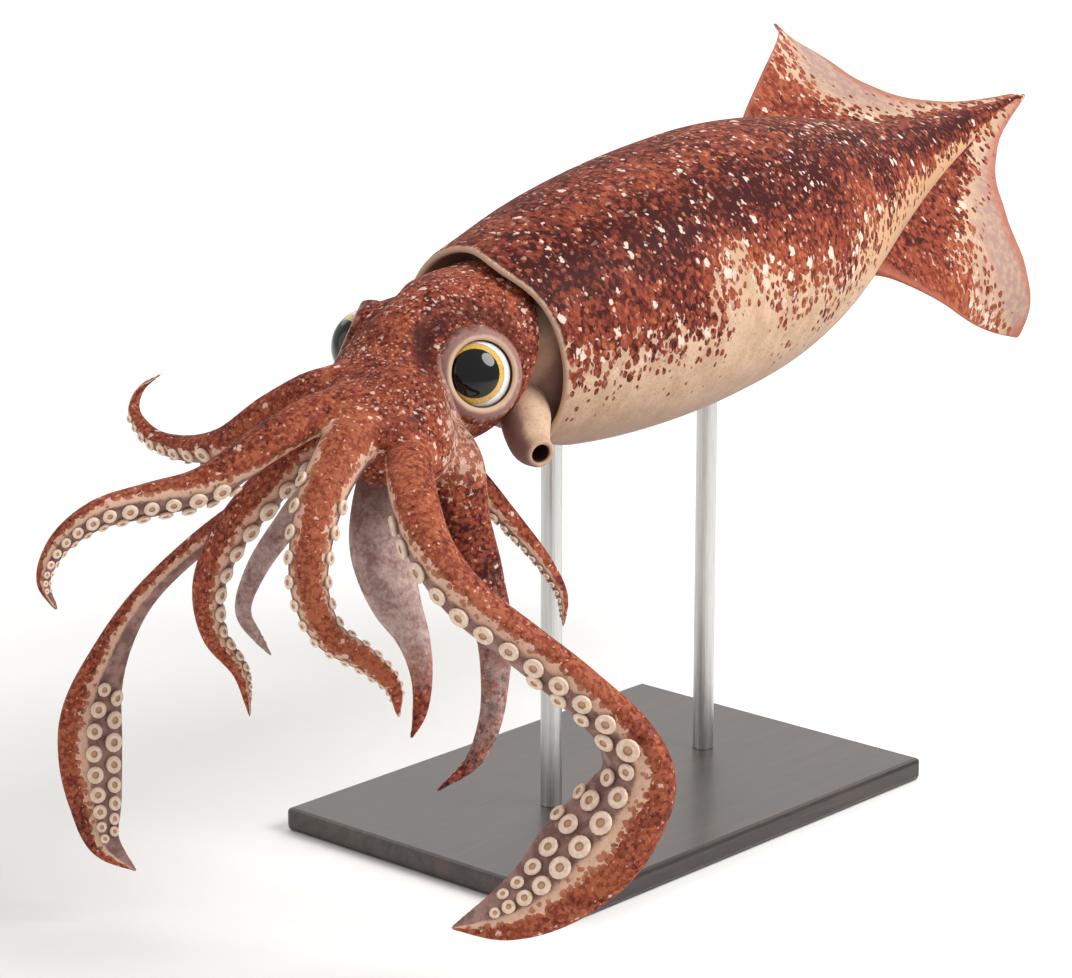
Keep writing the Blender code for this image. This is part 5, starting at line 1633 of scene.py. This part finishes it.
def sucker_finish():
    cup = Finish("sucker_flesh", Coat_Weight=0.15, Coat_Roughness=0.30, Specular_IOR_Level=0.30)
    place = cup.place()
    value = cup.value("cup")
    clouds = cup.noise(place, 260.0, 3.0)
    flesh = cup.mix(clouds.step(0.35, 0.65), FLESH, FLESH_SHADE)
    # Painted shade: the dished face round the pit is painted dark, as the shade in the groove.
    colour = cup.mix(value.step(0.40, 0.30), flesh, CUP_GROOVE_SHADE)
    colour = cup.mix(value.step(0.20, 0.10), colour, CUP_PIT)
    # Painted shade: the side of the cup next to the skin is painted dark, as the shade at its foot.
    colour = cup.mix(value.step(0.64, 0.92) * 0.90, colour, CUP_FOOT_SHADE)
    cup.feed("Base Color", colour)
    cup.feed("Roughness", 0.34 + 0.14 * clouds)
    cup.bump(cup.noise(place, 900.0, 2.0), 0.15, 0.0004)
    return cup.material


sucker_flesh = sucker_finish()
sucker_pieces = {}
for limb in limbs:
    sucker_pieces[limb.name] = sucker_mesh(limb)
    sucker_pieces[limb.name].data.materials.append(sucker_flesh)
    report(sucker_pieces[limb.name])

# %% [markdown]
# ## The stand
#
# The stand is as plain as a museum's: a dark, satin-lacquered board with eased edges and two
# brushed steel rods. The solids already have these shapes, so they only get a finish. Wood
# grain is noise that is drawn out along the board, and brushing is finer noise round the rod.

# %% The finish of the stand
BOARD_DARK = (0.020, 0.013, 0.010, 1.0)
BOARD_LIGHT = (0.060, 0.036, 0.024, 1.0)
PORE = (0.010, 0.007, 0.006, 1.0)
STEEL_DARK = (0.56, 0.56, 0.55, 1.0)
STEEL_LIGHT = (0.68, 0.68, 0.66, 1.0)


def board_finish():
    board = Finish("stand_board", Coat_Weight=0.35, Coat_Roughness=0.22, Specular_IOR_Level=0.45)
    grain_place = board.stretched(board.place(), 0.0, (2.2, 26.0, 26.0))
    grain = board.noise(grain_place, 3.0, 6.0, 0.62, 0.8)
    pores = board.noise(board.stretched(board.place(), 0.0, (8.0, 190.0, 190.0)), 4.0, 3.0, 0.6)
    colour = board.mix(grain.step(0.34, 0.68), BOARD_DARK, BOARD_LIGHT)
    colour = board.mix(pores.step(0.56, 0.70) * 0.5, colour, PORE)
    board.feed("Base Color", colour)
    board.feed("Roughness", 0.34 + 0.18 * grain)
    board.bump(grain * 0.6 + pores * 0.4, 0.12, 0.0006)
    return board.material


def rod_finish():
    rod = Finish("stand_steel", Metallic=1.0, Specular_IOR_Level=0.5)
    brushed = rod.noise(rod.stretched(rod.place(), 0.0, (260.0, 260.0, 9.0)), 3.0, 4.0, 0.6)
    smudges = rod.noise(rod.place(), 32.0, 3.0)
    rod.feed("Base Color", rod.mix(brushed.step(0.3, 0.7), STEEL_DARK, STEEL_LIGHT))
    rod.feed("Roughness", 0.24 + 0.16 * brushed + 0.08 * smudges)
    rod.bump(brushed, 0.08, 0.0002)
    return rod.material


board, steel = board_finish(), rod_finish()
for node_name, finish in (("stand_base", board), ("stand_rod_front", steel), ("stand_rod_rear", steel)):
    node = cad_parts[node_name]
    node.data.materials.clear()
    node.data.materials.append(finish)
    print(node_name, "finished with", finish.name)

# %% [markdown]
# ## Riding and replacing
#
# Each new piece hides the solids that it stands for and is parented to an empty for the body's
# root. The one skin of head and limbs stands for the head and every length of limb, and
# the suckers lie on it.

# %% Riding and replacing
limb_nodes = [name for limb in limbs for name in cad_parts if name.startswith(limb.name)]
standing_for = {
    body_skin: ("mantle", "fin_left", "fin_right"), head_skin: ("head", *limb_nodes),
    funnel_skin: ("funnel",), eyes["eye_left"]: ("eye_left",), eyes["eye_right"]: ("eye_right",),
}
for piece, node_names in standing_for.items():
    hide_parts(*node_names)
slots = {body_skin: "mantle", head_skin: "head", funnel_skin: "funnel", eyes["eye_left"]: "eye",
         eyes["eye_right"]: "eye"}
slots.update({lid: "head" for lid in lids.values()})
slots.update({piece: "arm" if name in ARM_HALF_WIDTHS else "tentacle"
              for name, piece in sucker_pieces.items()})
for piece, slot in slots.items():
    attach(piece, "root")
print(len(slots), "pieces ride on the squid")

# %% [markdown]
# ## Floor and light
#
# A plain pale floor and soft studio light let the skin speak. A large round light above and
# to the right of the camera models the forms and leaves the small round glint in the eye.
# A weaker one fills from the left, and a pale sky keeps the shadows open.

# %% Floor and light
FLOOR_SIZE = 24.0
PAPER = (0.95, 0.95, 0.94, 1.0)
PAPER_SHADE = (0.92, 0.92, 0.91, 1.0)
SKY = (1.0, 0.99, 0.975, 1.0)
SKY_STRENGTH = 0.52

deselect_all()
bpy.ops.mesh.primitive_plane_add(size=FLOOR_SIZE, location=(0.0, 0.0, 0.0))
floor = bpy.context.object
floor.name = "floor"
ground = Finish("floor_paper", Specular_IOR_Level=0.2)
clouds = ground.noise(ground.place(), 3.0, 4.0).step(0.3, 0.7)
ground.feed("Base Color", ground.mix(clouds, PAPER_SHADE, PAPER))
ground.feed("Roughness", 0.75 + 0.1 * ground.noise(ground.place(), 40.0))
floor.data.materials.append(ground.material)


def soft_light(name, direction, distance, size, power):
    """A round light that looks at the squid's collar from a direction in the view."""
    place = Vector(COLLAR + distance * view_vector(*direction))
    bpy.ops.object.light_add(type="AREA", location=place)
    light = bpy.context.object
    light.name = name
    light.data.shape = "DISK"
    light.data.size = size
    light.data.energy = power
    light.rotation_euler = (place - Vector(COLLAR)).to_track_quat("Z", "Y").to_euler()
    return light


soft_light("key_light", (0.71, 0.60, 0.345), distance=2.4, size=1.55, power=58.0)
soft_light("fill_light", (-0.95, 0.15, 0.30), distance=3.6, size=4.0, power=30.0)
backdrop = soft_light("backdrop_light", (0.0, 0.55, -0.80), distance=4.8, size=7.0, power=120.0)
backdrop.rotation_euler = (0.0, 0.0, 0.0)
world = bpy.data.worlds.new("studio")
world.use_nodes = True
world.node_tree.nodes["Background"].inputs[0].default_value = SKY
world.node_tree.nodes["Background"].inputs[1].default_value = SKY_STRENGTH
bpy.context.scene.world = world
bpy.context.scene.view_settings.view_transform = "Standard"
print("floor and three lights are in place")
